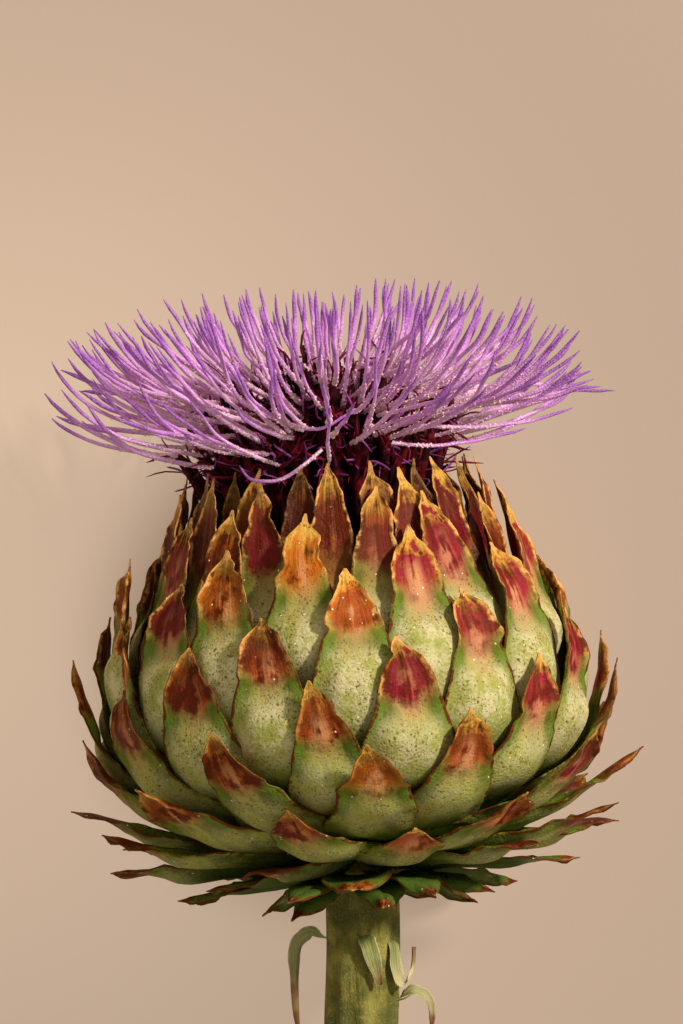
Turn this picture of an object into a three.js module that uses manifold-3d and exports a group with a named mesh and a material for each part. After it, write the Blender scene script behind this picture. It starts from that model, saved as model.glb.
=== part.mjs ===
// A globe artichoke in flower, picked with a short stem and lying on its side.
// Units are millimetres and +Z is up. The head's own axis runs level along +Y, stem end toward -Y and
// flower toward +Y, so the side that faces a viewer of the standing plant faces straight up here.
// Every scale-like leaf of the head (a bract) sits on one spiral and nests over the one behind it.

import * as THREE from 'three';
import { mergeVertices } from 'three/addons/utils/BufferGeometryUtils.js';
import Module from 'manifold-3d';

const wasm = await Module();
wasm.setup();

// ---------------------------------------------------------------- driving dimensions

const AXIS_HEIGHT = 48;           // height of the head's axis over the surface it lies on
const SAG = 1.4;                  // how far the underside would reach past that surface if it were hard
const FLAT = 0.15;                // depth of the flat worn where the underside touches
const TOUCH = 0.4;                // flared tips stop this far above the deepest point
const CLEARANCE = 0.3;            // gap left between neighbouring pieces

// Side outline of the head: [radius, distance along the axis from the top of the stem].
const GLOBE = [
  [7.5, 0], [15.1, 1.9], [27.8, 5.9], [34.9, 9.8], [43.9, 17.6], [48.2, 25.4],
  [49.6, 34], [45.9, 49], [36.5, 64.7], [29.9, 80.4], [28.6, 94],
];

// The spiral of bracts. Bract 0 is the one in the middle of the upper face; numbers grow toward the stem.
const GOLDEN_TURN = 137.508;      // degrees from one bract to the next
const FIRST_TURN = 2.5;           // direction of bract 0, degrees from straight up
const TIP_RISE = 1.04;            // distance along the axis from one tip to the next
const TIP_ARC = 1.12;             // the same, measured along the outline
const CROWN_RISE = 0.4;           // the same in the crowded crown under the flower
const COLLAR_RISE = 0.5;          // the same in the collar around the stem
const MIDDLE_TIP = 62.7;          // distance along the axis of the tip of bract 0
const MIDDLE_ARC = 87;            // arc length along the outline of the tip of bract 0
const CROWN_TOP = -34;            // innermost bract
const CROWN_START = -13;          // where crowding starts
const FIRST_BRACT = -8;           // the bracts from here to LAST_BRACT are pieces of their own
const LAST_BRACT = 39;
const COLLAR_DROOP = 60;          // from here on the bracts droop along the stem
const COLLAR_END = 72;            // last small bract around the stem

// How far from the axis a tip reaches at each distance along it: the lower bracts flare.
const TIP_REACH = [
  [-6, 18], [-2.5, 28], [0, 37], [5.5, 47], [11, 52], [20, 55], [29, 56.5],
  [36, 50.6], [49, 46.3], [64.7, 36.7], [80.4, 29.9], [94, 28.6],
];

// Shape of one bract.
const BRACT_LENGTH = 46;
const TIP_FLUSH = 7;              // its end lies flush with the outline over this length
const SLOPE = 0.21;               // how fast it then dives under its outer neighbours toward its root
const BRACT_THICKNESS = 0.85;
const BRACT_HALF_ANGLE = 15;      // widest spread to each side of its midline, degrees
const BRACT_BULGE = 1.1;          // how far the fleshy middle stands out
const BLADE = [                   // half width against distance below the tip
  [0, 0.2], [2.7, 2.35], [5, 3.8], [8, 4.7], [13, 6.2], [16.5, 7.6], [20.5, 8.6], [30, 11.5], [50, 14],
];

// The crown under the flower and the rim its bracts grow from.
const CROWN_THICKNESS = 0.7;
const CROWN_WIDTH = 0.85;         // width of its bracts as a share of the others'
const CROWN_HALF_ANGLE = 9.5;
const CROWN_LAYER = 0.13;         // each of its bracts stands this much further in than the last
const CROWN_ROOT = { arc: 62.5, width: 3.5, depth: 9.8, thickness: 3.8 };

// The collar around the stem and the rim its bracts grow from.
const COLLAR_WIDTH = 0.85;
const COLLAR_ROOT = { arc: 2.6, depth: 5.6 };
const COLLAR_RIM = { inner: 7.85, outer: 11, low: 0.4, high: 7 };

const STEM_RADIUS = 7.2;
const STEM_RIB = 0.25;            // height of the ribs along it
const STEM_RIBS = 10;
const STEM_END = -61;             // the cut
const STEM_LEAN = 0.0734;         // the stem meets the head at a slight angle, as a slope
const NECK_END = 11.5;            // where the stem widens into the heart
const HEART_DEPTH = 9.7;          // the heart's surface lies this far under the head's outline
const HEART_TOP = 34;
const LEAFLET_THICKNESS = 0.8;

const FLOWER_BASE = 34.8;         // the florets stand on the heart
const NECK_RADIUS = 24;           // the bundle of florets where it passes through the crown
const CORE_RADIUS = 12;           // the middle bundle
const BUNDLE_GAP = 0.4;           // between one bundle and the next
const LOCKS = 64;                 // pointed locks of florets over the dome of the flower
const DOME = [                    // outline that their tips make: [radius, distance along the axis]
  [0, 117], [14, 118.5], [26, 116.5], [36, 113.5], [46, 108], [52, 100.5], [55.4, 92.5],
];

// ---------------------------------------------------------------- small helpers

const radians = THREE.MathUtils.degToRad;
const { clamp } = THREE.MathUtils;
const smooth = (x, a, b) => THREE.MathUtils.smoothstep(x, a, b);

// Straight-line reading of a list of [position, value] pairs.
function along(pairs, x) {
  const last = pairs.length - 1;
  if (x <= pairs[0][0]) return pairs[0][1];
  for (let i = 0; i < last; i++) {
    const [x0, y0] = pairs[i];
    const [x1, y1] = pairs[i + 1];
    if (x <= x1) return y0 + (y1 - y0) * (x - x0) / (x1 - x0);
  }
  return pairs[last][1];
}

// A point given by radius, direction around the axis (degrees from straight up) and distance along it.
function place(radius, turn, y) {
  const a = radians(turn);
  return new THREE.Vector3(radius * Math.sin(a), y, AXIS_HEIGHT + radius * Math.cos(a));
}

// The surface below presses the soft underside: heights near it are squeezed together.
function press(z) {
  const reach = 5;
  const squeeze = SAG / (reach + SAG) ** 2;
  const below = Math.max(0, reach - z);
  return z + squeeze * below * below;
}

function body(points, triangles) {
  const geometry = new THREE.BufferGeometry();
  const corners = points.flatMap((p) => [p.x, p.y, p.z]);
  geometry.setAttribute('position', new THREE.Float32BufferAttribute(corners, 3));
  geometry.setIndex(triangles.flat());
  return geometry;
}

// Joins equal corners and drops the empty triangles that a lathe leaves on its axis.
function welded(geometry) {
  geometry.deleteAttribute('normal');
  geometry.deleteAttribute('uv');
  const merged = mergeVertices(geometry, 1e-4);
  const index = merged.getIndex().array;
  const kept = [];
  for (let i = 0; i < index.length; i += 3) {
    const [a, b, c] = [index[i], index[i + 1], index[i + 2]];
    if (a !== b && b !== c && c !== a) kept.push(a, b, c);
  }
  merged.setIndex(kept);
  return merged;
}

function solid(geometry) {
  const vertProperties = new Float32Array(geometry.getAttribute('position').array);
  const triVerts = new Uint32Array(geometry.getIndex().array);
  return new wasm.Manifold(new wasm.Mesh({ numProp: 3, vertProperties, triVerts }));
}

function fromSolid(shape) {
  const mesh = shape.getMesh();
  const geometry = new THREE.BufferGeometry();
  const corners = Array.from(mesh.vertProperties);
  geometry.setAttribute('position', new THREE.Float32BufferAttribute(corners, 3));
  geometry.setIndex(Array.from(mesh.triVerts));
  return geometry;
}

// One closed body out of several that run into each other.
function joined(geometries) {
  return geometries.map(solid).reduce((sum, next) => sum.add(next));
}

// A closed profile of [radius, distance along the axis] points turned around the head's axis.
function turned(profile, segments) {
  const points = profile.map(([radius, y]) => new THREE.Vector2(radius, y));
  const geometry = welded(new THREE.LatheGeometry(points, segments));
  geometry.translate(0, 0, AXIS_HEIGHT);
  return geometry;
}

// How far from the axis something may reach in a direction before it meets the surface below.
function reachAbove(turn) {
  const down = -Math.cos(radians(turn));
  return down > 0.1 ? (AXIS_HEIGHT + SAG - TOUCH) / down : Infinity;
}

// Skins a stack of equal rings and closes both ends on a middle point.
function loft(rings) {
  const count = rings[0].length;
  const points = rings.flat();
  const triangles = [];
  for (let j = 0; j < rings.length - 1; j++) {
    for (let i = 0; i < count; i++) {
      const a = j * count + i;
      const b = j * count + (i + 1) % count;
      triangles.push([a, b, b + count], [a, b + count, a + count]);
    }
  }
  const middle = (ring) => ring.reduce((sum, p) => sum.add(p), new THREE.Vector3()).divideScalar(count);
  const start = points.push(middle(rings[0])) - 1;
  const end = points.push(middle(rings[rings.length - 1])) - 1;
  const top = (rings.length - 1) * count;
  for (let i = 0; i < count; i++) {
    const next = (i + 1) % count;
    triangles.push([start, next, i], [end, top + i, top + next]);
  }
  return body(points, triangles);
}

const whole = new THREE.Group();
whole.name = 'artichoke';

const surfaceBelow = new THREE.BoxGeometry(400, 400, 10);
surfaceBelow.translate(0, 0, FLAT - 5);
const slab = solid(welded(surfaceBelow));

// Presses a finished piece on the surface below, flattens what touches it and adds it to the object.
function addPiece(name, shape, colour, roughness) {
  const position = shape.getAttribute('position');
  for (let i = 0; i < position.count; i++) position.setZ(i, press(position.getZ(i)));
  shape.computeBoundingBox();
  const geometry = shape.boundingBox.min.z < FLAT ? fromSolid(solid(shape).subtract(slab)) : shape;
  geometry.translate(0, 0, -FLAT);
  geometry.computeVertexNormals();
  const material = new THREE.MeshStandardMaterial({ color: colour, roughness, metalness: 0 });
  material.name = name;
  const mesh = new THREE.Mesh(geometry, material);
  mesh.name = name;
  whole.add(mesh);
}

// ---------------------------------------------------------------- the head's outline

const outline = new THREE.SplineCurve(GLOBE.map(([radius, y]) => new THREE.Vector2(radius, y)));
outline.arcLengthDivisions = 600;
const OUTLINE_LENGTH = outline.getLength();
const globeByHeight = GLOBE.map(([radius, y]) => [y, radius]);

// The outline at an arc length, moved inward by a depth.
function under(arc, depth) {
  const t = clamp(arc / OUTLINE_LENGTH, 0, 1);
  const p = outline.getPointAt(t);
  const d = outline.getTangentAt(t);
  return new THREE.Vector2(p.x - d.y * depth, p.y + d.x * depth);
}

// ---------------------------------------------------------------- bracts

function tipHeight(n) {
  if (n < CROWN_START) return MIDDLE_TIP - TIP_RISE * CROWN_START + CROWN_RISE * (CROWN_START - n);
  if (n > COLLAR_DROOP) return COLLAR_RISE * (COLLAR_DROOP - n);
  return MIDDLE_TIP - TIP_RISE * n;
}

function tipArc(n) {
  if (n < CROWN_START) return MIDDLE_ARC - TIP_ARC * CROWN_START + CROWN_RISE * (CROWN_START - n);
  return MIDDLE_ARC - TIP_ARC * n;
}

// Where a tip ends: flared tips stop at the surface below, the others follow the outline.
function tipPoint(n, turn) {
  const y = tipHeight(n);
  const flared = Math.min(along(TIP_REACH, y), reachAbove(turn));
  return new THREE.Vector2(Math.max(along(globeByHeight, y), flared), y);
}

// The outer midline of a bract, as one point per station from its root to its tip.
function midline(n, turn, kind) {
  const arc = tipArc(n);
  const root = Math.max(kind.rootArc, arc - BRACT_LENGTH);
  const layer = CROWN_LAYER * Math.max(0, CROWN_START - n);
  const lift = tipPoint(n, turn).sub(under(arc, 0));
  return kind.stations.map((share) => {
    const here = root + share * (arc - root);
    const dive = Math.min(SLOPE * Math.max(0, arc - here - TIP_FLUSH), kind.deepest) + layer;
    const toRim = Math.max(0, kind.rimDepth - dive) * (1 - smooth(share, 0, 0.35));
    return under(here, dive + toRim).addScaledVector(lift, share ** 2);
  });
}

// One bract: a curved blade of even thickness that ends in a point.
function bract(n, kind) {
  const turn = FIRST_TURN - GOLDEN_TURN * n;
  const line = midline(n, turn, kind);
  const rows = line.length - 1;
  const { columns } = kind;
  const below = new Array(rows + 1).fill(0);    // distance below the tip
  for (let j = rows - 1; j >= 0; j--) below[j] = below[j + 1] + line[j].distanceTo(line[j + 1]);

  const points = [];
  for (const side of [0, 1]) {
    for (let j = 0; j < rows; j++) {
      const onward = line[j + 1].clone().sub(line[Math.max(j - 1, 0)]).normalize();
      const out = new THREE.Vector2(onward.y, -onward.x);
      const width = THREE.MathUtils.radToDeg(along(BLADE, below[j]) * kind.width / line[j].x);
      const spread = Math.min(width, kind.halfAngle);
      const fleshy = BRACT_BULGE * kind.width * smooth(below[j], 3, 12) * (1 - smooth(below[j], 24, 38));
      for (let i = 0; i <= columns; i++) {
        const u = 1 - 2 * i / columns;
        const p = line[j].clone().addScaledVector(out, fleshy * (1 - u * u) - side * kind.thickness);
        points.push(place(p.x, turn + spread * u, p.y));
      }
    }
  }
  const tip = points.push(place(line[rows].x, turn, line[rows].y)) - 1;

  const outer = (j, i) => j * (columns + 1) + i;
  const inner = (j, i) => (rows + j) * (columns + 1) + i;
  const triangles = [];
  for (let j = 0; j < rows; j++) {
    for (let i = 0; i < columns; i++) {
      if (j === rows - 1) {
        triangles.push([outer(j, i), tip, outer(j, i + 1)], [inner(j, i), inner(j, i + 1), tip]);
        continue;
      }
      triangles.push([outer(j, i), outer(j + 1, i), outer(j + 1, i + 1)]);
      triangles.push([outer(j, i), outer(j + 1, i + 1), outer(j, i + 1)]);
      triangles.push([inner(j, i), inner(j + 1, i + 1), inner(j + 1, i)]);
      triangles.push([inner(j, i), inner(j, i + 1), inner(j + 1, i + 1)]);
    }
    const right = columns;
    if (j === rows - 1) {
      triangles.push([outer(j, 0), inner(j, 0), tip], [outer(j, right), tip, inner(j, right)]);
      continue;
    }
    triangles.push([outer(j, 0), inner(j, 0), inner(j + 1, 0)]);
    triangles.push([outer(j, 0), inner(j + 1, 0), outer(j + 1, 0)]);
    triangles.push([outer(j, right), inner(j + 1, right), inner(j, right)]);
    triangles.push([outer(j, right), outer(j + 1, right), inner(j + 1, right)]);
  }
  for (let i = 0; i < columns; i++) {
    triangles.push([outer(0, i), outer(0, i + 1), inner(0, i + 1)]);
    triangles.push([outer(0, i), inner(0, i + 1), inner(0, i)]);
  }
  return body(points, triangles);
}

const GREEN = new THREE.Color(0x8f9a63);
const CRIMSON = new THREE.Color(0x7d3238);
const single = {
  stations: [0, 0.2, 0.4, 0.58, 0.75, 0.89, 1],
  columns: 4,
  width: 1,
  halfAngle: BRACT_HALF_ANGLE,
  thickness: BRACT_THICKNESS,
  rootArc: 5,
  deepest: Infinity,
  rimDepth: 0,
};
for (let n = FIRST_BRACT; n <= LAST_BRACT; n++) {
  const name = `bract_${String(n - FIRST_BRACT + 1).padStart(2, '0')}`;
  const colour = GREEN.clone().lerp(CRIMSON, 0.6 * (1 - smooth(n, FIRST_BRACT, 24)));
  addPiece(name, bract(n, single), colour, 0.6);
}

// The crown: the innermost, narrow bracts, joined at their roots by the rim they grow from.
const inCrown = {
  stations: [0, 0.3, 0.62, 0.85, 1],
  columns: 2,
  width: CROWN_WIDTH,
  halfAngle: CROWN_HALF_ANGLE,
  thickness: CROWN_THICKNESS,
  rootArc: CROWN_ROOT.arc,
  deepest: Infinity,
  rimDepth: CROWN_ROOT.depth + 0.8,
};
const { arc: rimArc, width: rimWidth, depth: rimTop, thickness: rimThickness } = CROWN_ROOT;
const rimSection = [[0, 0], [1, 0], [1, 1], [0, 1], [0, 0]]
  .map(([a, d]) => under(rimArc + a * rimWidth, rimTop + d * rimThickness))
  .map((p) => [p.x, p.y]);
const crown = [turned(rimSection, 30)];
for (let n = CROWN_TOP; n < FIRST_BRACT; n++) crown.push(bract(n, inCrown));
addPiece('crown_bracts', fromSolid(joined(crown)), 0x7a4a22, 0.75);

// The collar: small spreading bracts crowded around the stem, joined by the rim they grow from.
const inCollar = {
  stations: [0, 0.4, 0.7, 1],
  columns: 2,
  width: COLLAR_WIDTH,
  halfAngle: BRACT_HALF_ANGLE,
  thickness: BRACT_THICKNESS,
  rootArc: COLLAR_ROOT.arc,
  deepest: COLLAR_ROOT.depth,
  rimDepth: 0,
};
const { inner, outer: rimOuter, low, high } = COLLAR_RIM;
const collar = [turned([[inner, low], [rimOuter, low], [rimOuter, high], [inner, high], [inner, low]], 24)];
for (let n = LAST_BRACT + 1; n <= COLLAR_END; n++) collar.push(bract(n, inCollar));
addPiece('collar_bracts', fromSolid(joined(collar)), 0x5d6a33, 0.7);

// ---------------------------------------------------------------- stem and heart, one grown piece

// Sideways shift of the stem's middle: straight through the head, then bending over to its lean.
function stemShift(y) {
  const bendStart = 4;
  const bendLength = 8;
  const d = Math.max(0, bendStart - y);
  return -STEM_LEAN * (d < bendLength ? d * d / (2 * bendLength) : d - bendLength / 2);
}

const heart = [8, 18, 30, 42, 50, 56.5].map((arc) => under(arc, HEART_DEPTH)).map((p) => [p.x, p.y]);
const rim = heart[heart.length - 1];
const stemLine = [
  [STEM_RADIUS, STEM_END], [STEM_RADIUS, -40], [STEM_RADIUS, -20], [STEM_RADIUS, -6], [STEM_RADIUS, 3],
  [STEM_RADIUS, NECK_END], ...heart, [rim[0] - 2, HEART_TOP],
];
const stemSides = 2 * STEM_RIBS;
const stemRings = stemLine.map(([radius, y]) => {
  const ring = [];
  for (let i = 0; i < stemSides; i++) {
    const rib = y < NECK_END ? STEM_RIB * Math.cos(Math.PI * i) : 0;
    const p = place(radius + rib, 360 * i / stemSides, y);
    p.x += stemShift(y);
    ring.push(p);
  }
  return ring;
});
addPiece('stem', loft(stemRings), 0x6f7440, 0.7);

// ---------------------------------------------------------------- leaflets on the stem

// A narrow leaf along a path of [direction around the stem, distance out from its skin, y] points.
function leaflet({ path, twist, halfWidth }) {
  const skin = STEM_RADIUS + STEM_RIB + CLEARANCE + LEAFLET_THICKNESS;
  const spine = new THREE.CatmullRomCurve3(path.map(([turn, out, y]) => {
    const p = place(skin + out, turn, y);
    p.x += stemShift(y);
    return p;
  }));
  const steps = 8;
  const h = LEAFLET_THICKNESS / 2;
  const rings = [];
  for (let j = 0; j <= steps; j++) {
    const t = j / steps;
    const p = spine.getPointAt(t);
    const tangent = spine.getTangentAt(t);
    const out = p.clone().sub(new THREE.Vector3(stemShift(p.y), p.y, AXIS_HEIGHT));
    const around = new THREE.Vector3(out.z, 0, -out.x);
    const turning = radians(twist * smooth(t, 0, 0.5));
    const side = around.projectOnPlane(tangent).normalize().applyAxisAngle(tangent, turning);
    const lift = side.clone().cross(tangent).normalize();
    const w = halfWidth * Math.sin(Math.PI * (0.12 + 0.83 * t)) ** 0.7;
    const section = [[-w, 0], [-0.4 * w, h], [0.4 * w, h], [w, 0], [0.4 * w, -h], [-0.4 * w, -h]];
    rings.push(section.map(([a, b]) => p.clone().addScaledVector(side, a).addScaledVector(lift, b)));
  }
  return loft(rings);
}

const leaflets = {
  leaflet_left: {
    path: [[-84, 0.2, -8.6], [-86, 2.6, -7.6], [-88, 5, -10], [-89, 5.4, -17], [-89, 4.6, -27]],
    twist: 60,
    halfWidth: 1.5,
  },
  leaflet_front: {
    path: [[6, 0, -8.8], [12, 0.3, -12], [18, 0.7, -15.5], [24, 1, -18.6]],
    twist: 0,
    halfWidth: 1.5,
  },
  leaflet_right: {
    path: [[52, 0, -10.5], [50, 0.8, -16], [60, 1.6, -18.6], [74, 2.4, -16.4], [80, 2.6, -11.8]],
    twist: 20,
    halfWidth: 1.2,
  },
  leaflet_low: {
    path: [[80, 0.2, -21.8], [84, 2.6, -20.4], [86, 5.4, -22.4], [87, 5.8, -28]],
    twist: 50,
    halfWidth: 1.3,
  },
};
for (const [name, shape] of Object.entries(leaflets)) addPiece(name, leaflet(shape), 0x77803f, 0.7);

// ---------------------------------------------------------------- the flower

// One lock of florets: narrow at its root, fullest past its middle and pointed.
function lock(from, to) {
  const length = from.distanceTo(to);
  const outlineOfLock = [[0, 0], [2.4, 0], [4.1, 0.62 * length], [0, length]];
  const profile = outlineOfLock.map(([r, y]) => new THREE.Vector2(r, y));
  const geometry = welded(new THREE.LatheGeometry(profile, 5));
  const onward = to.clone().sub(from).normalize();
  geometry.applyQuaternion(new THREE.Quaternion().setFromUnitVectors(new THREE.Vector3(0, 1, 0), onward));
  geometry.translate(from.x, from.y, from.z);
  return solid(geometry);
}

const dome = new THREE.SplineCurve(DOME.map(([r, y]) => new THREE.Vector2(r, y)));
const locks = [];
for (let k = 0; k < LOCKS; k++) {
  const turn = GOLDEN_TURN * k;
  const share = Math.sqrt((k + 0.5) / LOCKS);
  const tip = dome.getPointAt(0.06 + 0.94 * share);
  const root = place(0.36 * tip.x, turn, 84 - 2 * share);
  const shape = lock(root, place(Math.min(tip.x, reachAbove(turn)), turn, tip.y));
  locks.push({ turn, inCore: tip.x < CORE_RADIUS, shape });
}

const trunk = solid(turned([
  [0, FLOWER_BASE], [NECK_RADIUS, FLOWER_BASE], [NECK_RADIUS, 60], [NECK_RADIUS, 84],
  [31, 91], [27, 99], [0, 104],
], 24));
const rod = (radius) => solid(turned([[0, 0], [radius, 0], [radius, 200], [0, 200]], 16));
const core = rod(CORE_RADIUS);
const coreHole = rod(CORE_RADIUS + BUNDLE_GAP);
const bunch = (members) => members.reduce((shape, member) => shape.add(member.shape), trunk);

const FLOWER = 0x6a4a86;
const centre = bunch(locks.filter((member) => member.inCore)).intersect(core);
addPiece('florets_centre', fromSolid(centre), FLOWER, 0.8);

// Four side bundles, each kept to its own quarter around the axis.
const quarters = { up: 0, right: 90, under: 180, left: 270 };
for (const [name, heading] of Object.entries(quarters)) {
  const box = new THREE.BoxGeometry(100, 200, 100);
  box.translate(50 + BUNDLE_GAP / 2, 100, 50 + BUNDLE_GAP / 2);
  box.rotateY(radians(heading - 45));
  box.translate(0, 0, AXIS_HEIGHT);
  const members = locks.filter(({ inCore, turn }) => {
    const off = Math.abs(((turn - heading) % 360 + 540) % 360 - 180);
    return !inCore && off <= 45;
  });
  const bundle = bunch(members).subtract(coreHole).intersect(solid(welded(box)));
  addPiece(`florets_${name}`, fromSolid(bundle), FLOWER, 0.8);
}

// The part's origin is the middle of its footprint, on the surface it lies on.
const footprint = new THREE.Box3().setFromObject(whole).getCenter(new THREE.Vector3());
for (const mesh of whole.children) mesh.geometry.translate(-footprint.x, -footprint.y, 0);

export default whole;
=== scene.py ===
# %% [markdown]
# # A globe artichoke in flower
#
# The head is a tight spiral of scale-like leaves, called bracts. Each one is pale, fleshy and
# downy below and dries to a pointed brown or crimson end. A brush of violet florets rises out of
# the neck, a ribbed stem carries the head, and it all lies on its side on a table.
#
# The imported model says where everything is. This lesson grows a finer skin for each of its pieces:
# the bracts and the stem in mesh code, the florets and their pollen with Geometry Nodes.
# Lengths are in millimetres until a mesh is made, and the table is at height 0.

# %% Load the frame
import math

import bpy
import numpy as np
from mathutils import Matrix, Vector


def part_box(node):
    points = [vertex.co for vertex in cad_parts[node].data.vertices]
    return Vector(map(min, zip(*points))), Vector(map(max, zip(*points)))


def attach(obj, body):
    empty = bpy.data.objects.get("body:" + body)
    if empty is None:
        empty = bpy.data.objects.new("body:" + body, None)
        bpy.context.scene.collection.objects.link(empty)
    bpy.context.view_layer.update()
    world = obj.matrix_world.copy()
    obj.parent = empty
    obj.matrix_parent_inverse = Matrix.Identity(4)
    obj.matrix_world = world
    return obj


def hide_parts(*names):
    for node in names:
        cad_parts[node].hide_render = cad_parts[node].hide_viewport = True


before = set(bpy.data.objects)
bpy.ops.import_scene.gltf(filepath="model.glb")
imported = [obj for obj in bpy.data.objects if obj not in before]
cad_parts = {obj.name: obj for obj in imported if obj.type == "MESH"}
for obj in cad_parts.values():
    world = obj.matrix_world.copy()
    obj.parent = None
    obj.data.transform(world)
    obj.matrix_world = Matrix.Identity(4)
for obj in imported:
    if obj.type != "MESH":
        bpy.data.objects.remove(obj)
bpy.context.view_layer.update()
MM = 0.001

# %% [markdown]
# ## Where the head is
#
# The head is round about one level axis, so a point on it is easiest to give as a radius, a
# direction around the axis in degrees from straight up, and a distance along the axis from the top
# of the stem. The middle bundle of florets is centred on that axis and starts at a known distance
# along it, so its box gives the axis without any measuring by eye.

# %% The axis of the head
FLOWER_BASE = 34.8  # where the florets start, from the top of the stem

bundle_low, bundle_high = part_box("florets_centre")
AXIS_X = (bundle_low.x + bundle_high.x) / 2 / MM
AXIS_Z = (bundle_low.z + bundle_high.z) / 2 / MM
STEM_TOP = bundle_low.y / MM - FLOWER_BASE


def place(radius, turn, height):
    """Points around the axis: radius, degrees from straight up, and distance from the stem's top."""
    angle = np.radians(turn)
    x, y, z = np.broadcast_arrays(radius * np.sin(angle), height, radius * np.cos(angle))
    return np.stack([AXIS_X + x, STEM_TOP + y, AXIS_Z + z], axis=-1)


def lie_down(points, softness=0.8):
    """The table holds up whatever would sink below it: heights near 0 are squeezed together."""
    settled = np.array(points, float)
    settled[..., 2] = softness * np.logaddexp(0, settled[..., 2] / softness)
    return settled


print(f"the axis is {AXIS_Z:.1f} mm above the table")

# %% [markdown]
# ## Small helpers for shapes
#
# `smooth` is the ease-in, ease-out step that most of the shaping below uses. `ragged` gives the
# uneven line of a torn or dried edge: random heights joined by straight lines. Everything random
# has a fixed seed, so the plant grows the same way each time.

# %% Ease and unevenness
def smooth(x, start, end):
    """Eases from 0 at the start to 1 at the end."""
    t = np.clip((np.asarray(x, float) - start) / (end - start), 0, 1)
    return t * t * (3 - 2 * t)


def bump(x, middle, width):
    """A rounded bump, 1 high at its middle."""
    return np.exp(-(((x - middle) / width) ** 2))


def along(table, x):
    """Reads a table of (x, y) pairs between its entries."""
    xs, ys = zip(*table)
    return np.interp(x, xs, ys)


def ragged(rng, x, step, size):
    """Random heights between -size and size, one for each step of x."""
    knots = rng.uniform(-1, 1, int(np.max(x) / step) + 3)
    return size * np.interp(x / step, np.arange(len(knots)), knots)


print("smooth climbs", smooth([0, 0.25, 0.5, 0.75, 1], 0, 1).round(2))

# %% [markdown]
# ## The outline of the head
#
# Cut through lengthwise, the head is a bowl at the stem, a round belly and a narrower neck. A
# smooth curve through a few of its widths gives that outline. `under` walks along the curve and
# then goes in toward the heart, which is how the bracts are laid over each other.

# %% The outline
GLOBE = [  # radius, distance from the stem's top
    (7.5, 0), (15.1, 1.9), (27.8, 5.9), (34.9, 9.8), (43.9, 17.6), (48.2, 25.4),
    (49.6, 34), (45.9, 49), (36.5, 64.7), (29.9, 80.4), (28.6, 94),
]


def curve_through(points, steps=60):
    """Many points on the smooth curve through a few."""
    p = np.array([points[0], *points, points[-1]], float)
    t = np.linspace(0, 1, steps, endpoint=False)[:, None]
    spans = []
    for a, b, c, d in zip(p, p[1:], p[2:], p[3:]):
        pull_b, pull_c = (c - a) / 2, (d - b) / 2
        spans.append(
            (2 * b - 2 * c + pull_b + pull_c) * t**3
            + (-3 * b + 3 * c - 2 * pull_b - pull_c) * t**2
            + pull_b * t
            + b
        )
    return np.vstack([*spans, p[-1:]])


outline = curve_through(GLOBE)
outline_step = np.linalg.norm(np.diff(outline, axis=0), axis=1)
outline_arc = np.concatenate([[0], np.cumsum(outline_step)])
outline_onward = np.gradient(outline, outline_arc, axis=0)


def under(arc, depth):
    """Points (radius, height) at an arc length on the outline and a depth below it."""
    radius, height = (np.interp(arc, outline_arc, outline[:, k]) for k in (0, 1))
    more_radius, more_height = (np.interp(arc, outline_arc, outline_onward[:, k]) for k in (0, 1))
    return np.stack([radius - more_height * depth, height + more_radius * depth], axis=-1)


print(f"the outline is {outline_arc[-1]:.0f} mm long and {2 * outline[:, 0].max():.0f} mm wide")

# %% [markdown]
# ## The spiral
#
# Every bract sits one golden turn further round than the one before and a little nearer the stem.
# Bract 0 is in the middle of the upper face, negative numbers climb into the crown under the
# flower, where they crowd together, and high ones end in a small collar around the stem. Rings of
# copies would be quicker to make, but they show rows that no artichoke has.
#
# The lower tips flare away from the head until the table stops them. They flare less on the side
# that lies uppermost, and at the two sides of the belly they stand out unevenly. A plant isn't a
# lathe, so some bracts have leaned a little to one side or grown past their place.

# %% Steps of the spiral
GOLDEN_TURN = 137.508  # degrees from one bract or floret to the next
FIRST_TURN = 2.5  # where bract 0 is, in degrees from straight up
MIDDLE_TIP, MIDDLE_ARC = 62.7, 87  # the tip of bract 0, along the axis and along the outline
TIP_RISE, TIP_ARC = 1.04, 1.12  # from one tip to the next, the same two ways
CROWN_RISE, COLLAR_RISE = 0.4, 0.45  # the smaller steps at either end
CROWN_TOP, CROWN_START, COLLAR_DROOP, COLLAR_END = -34, -13, 60, 72  # bract numbers
FIRST_BRACT, LAST_BRACT = -8, 39  # the bracts that are pieces of their own
ASTRAY = {  # bract: how far its tip has grown toward the flower, in mm, and leaned round, in degrees
    -26: (0, -6), -24: (-4, 0), -21: (0, 5), -18: (-2, 5), -16: (0, -9), -13: (-2, -2), -10: (2, 3),
    -5: (0, -6), -2: (3, 1), 2: (2, 3), 3: (3, -3), 8: (0, -2), 11: (5, -3), 13: (0, -1), 16: (4, -3),
    18: (0, 2), 19: (6, -2), 21: (1, -2), 23: (3, 5), 24: (5, -6), 26: (-1, 1), 29: (1, -6),
    31: (-2, 0), 32: (4, -2), 34: (2.5, -3), 37: (0, -6), 39: (-5, 5), 42: (-2, -5), 44: (-3, 4),
    45: (-1, -5), 47: (-2, -3), 50: (-4, -5), 55: (-5, -3), 60: (-2, -5), 63: (0, -7), 66: (3, 1),
}


def climbed(start, rise, n):
    """Where tip n is, one rise from the next, but closer together in the crown."""
    if n < CROWN_START:
        crowded = CROWN_START - max(n, CROWN_TOP)
        return start - rise * CROWN_START + CROWN_RISE * crowded
    return start - rise * n


def grown_past(n):
    return ASTRAY.get(n, (0, 0))[0]


def leaned_round(n):
    return ASTRAY.get(n, (0, 0))[1]


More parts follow.
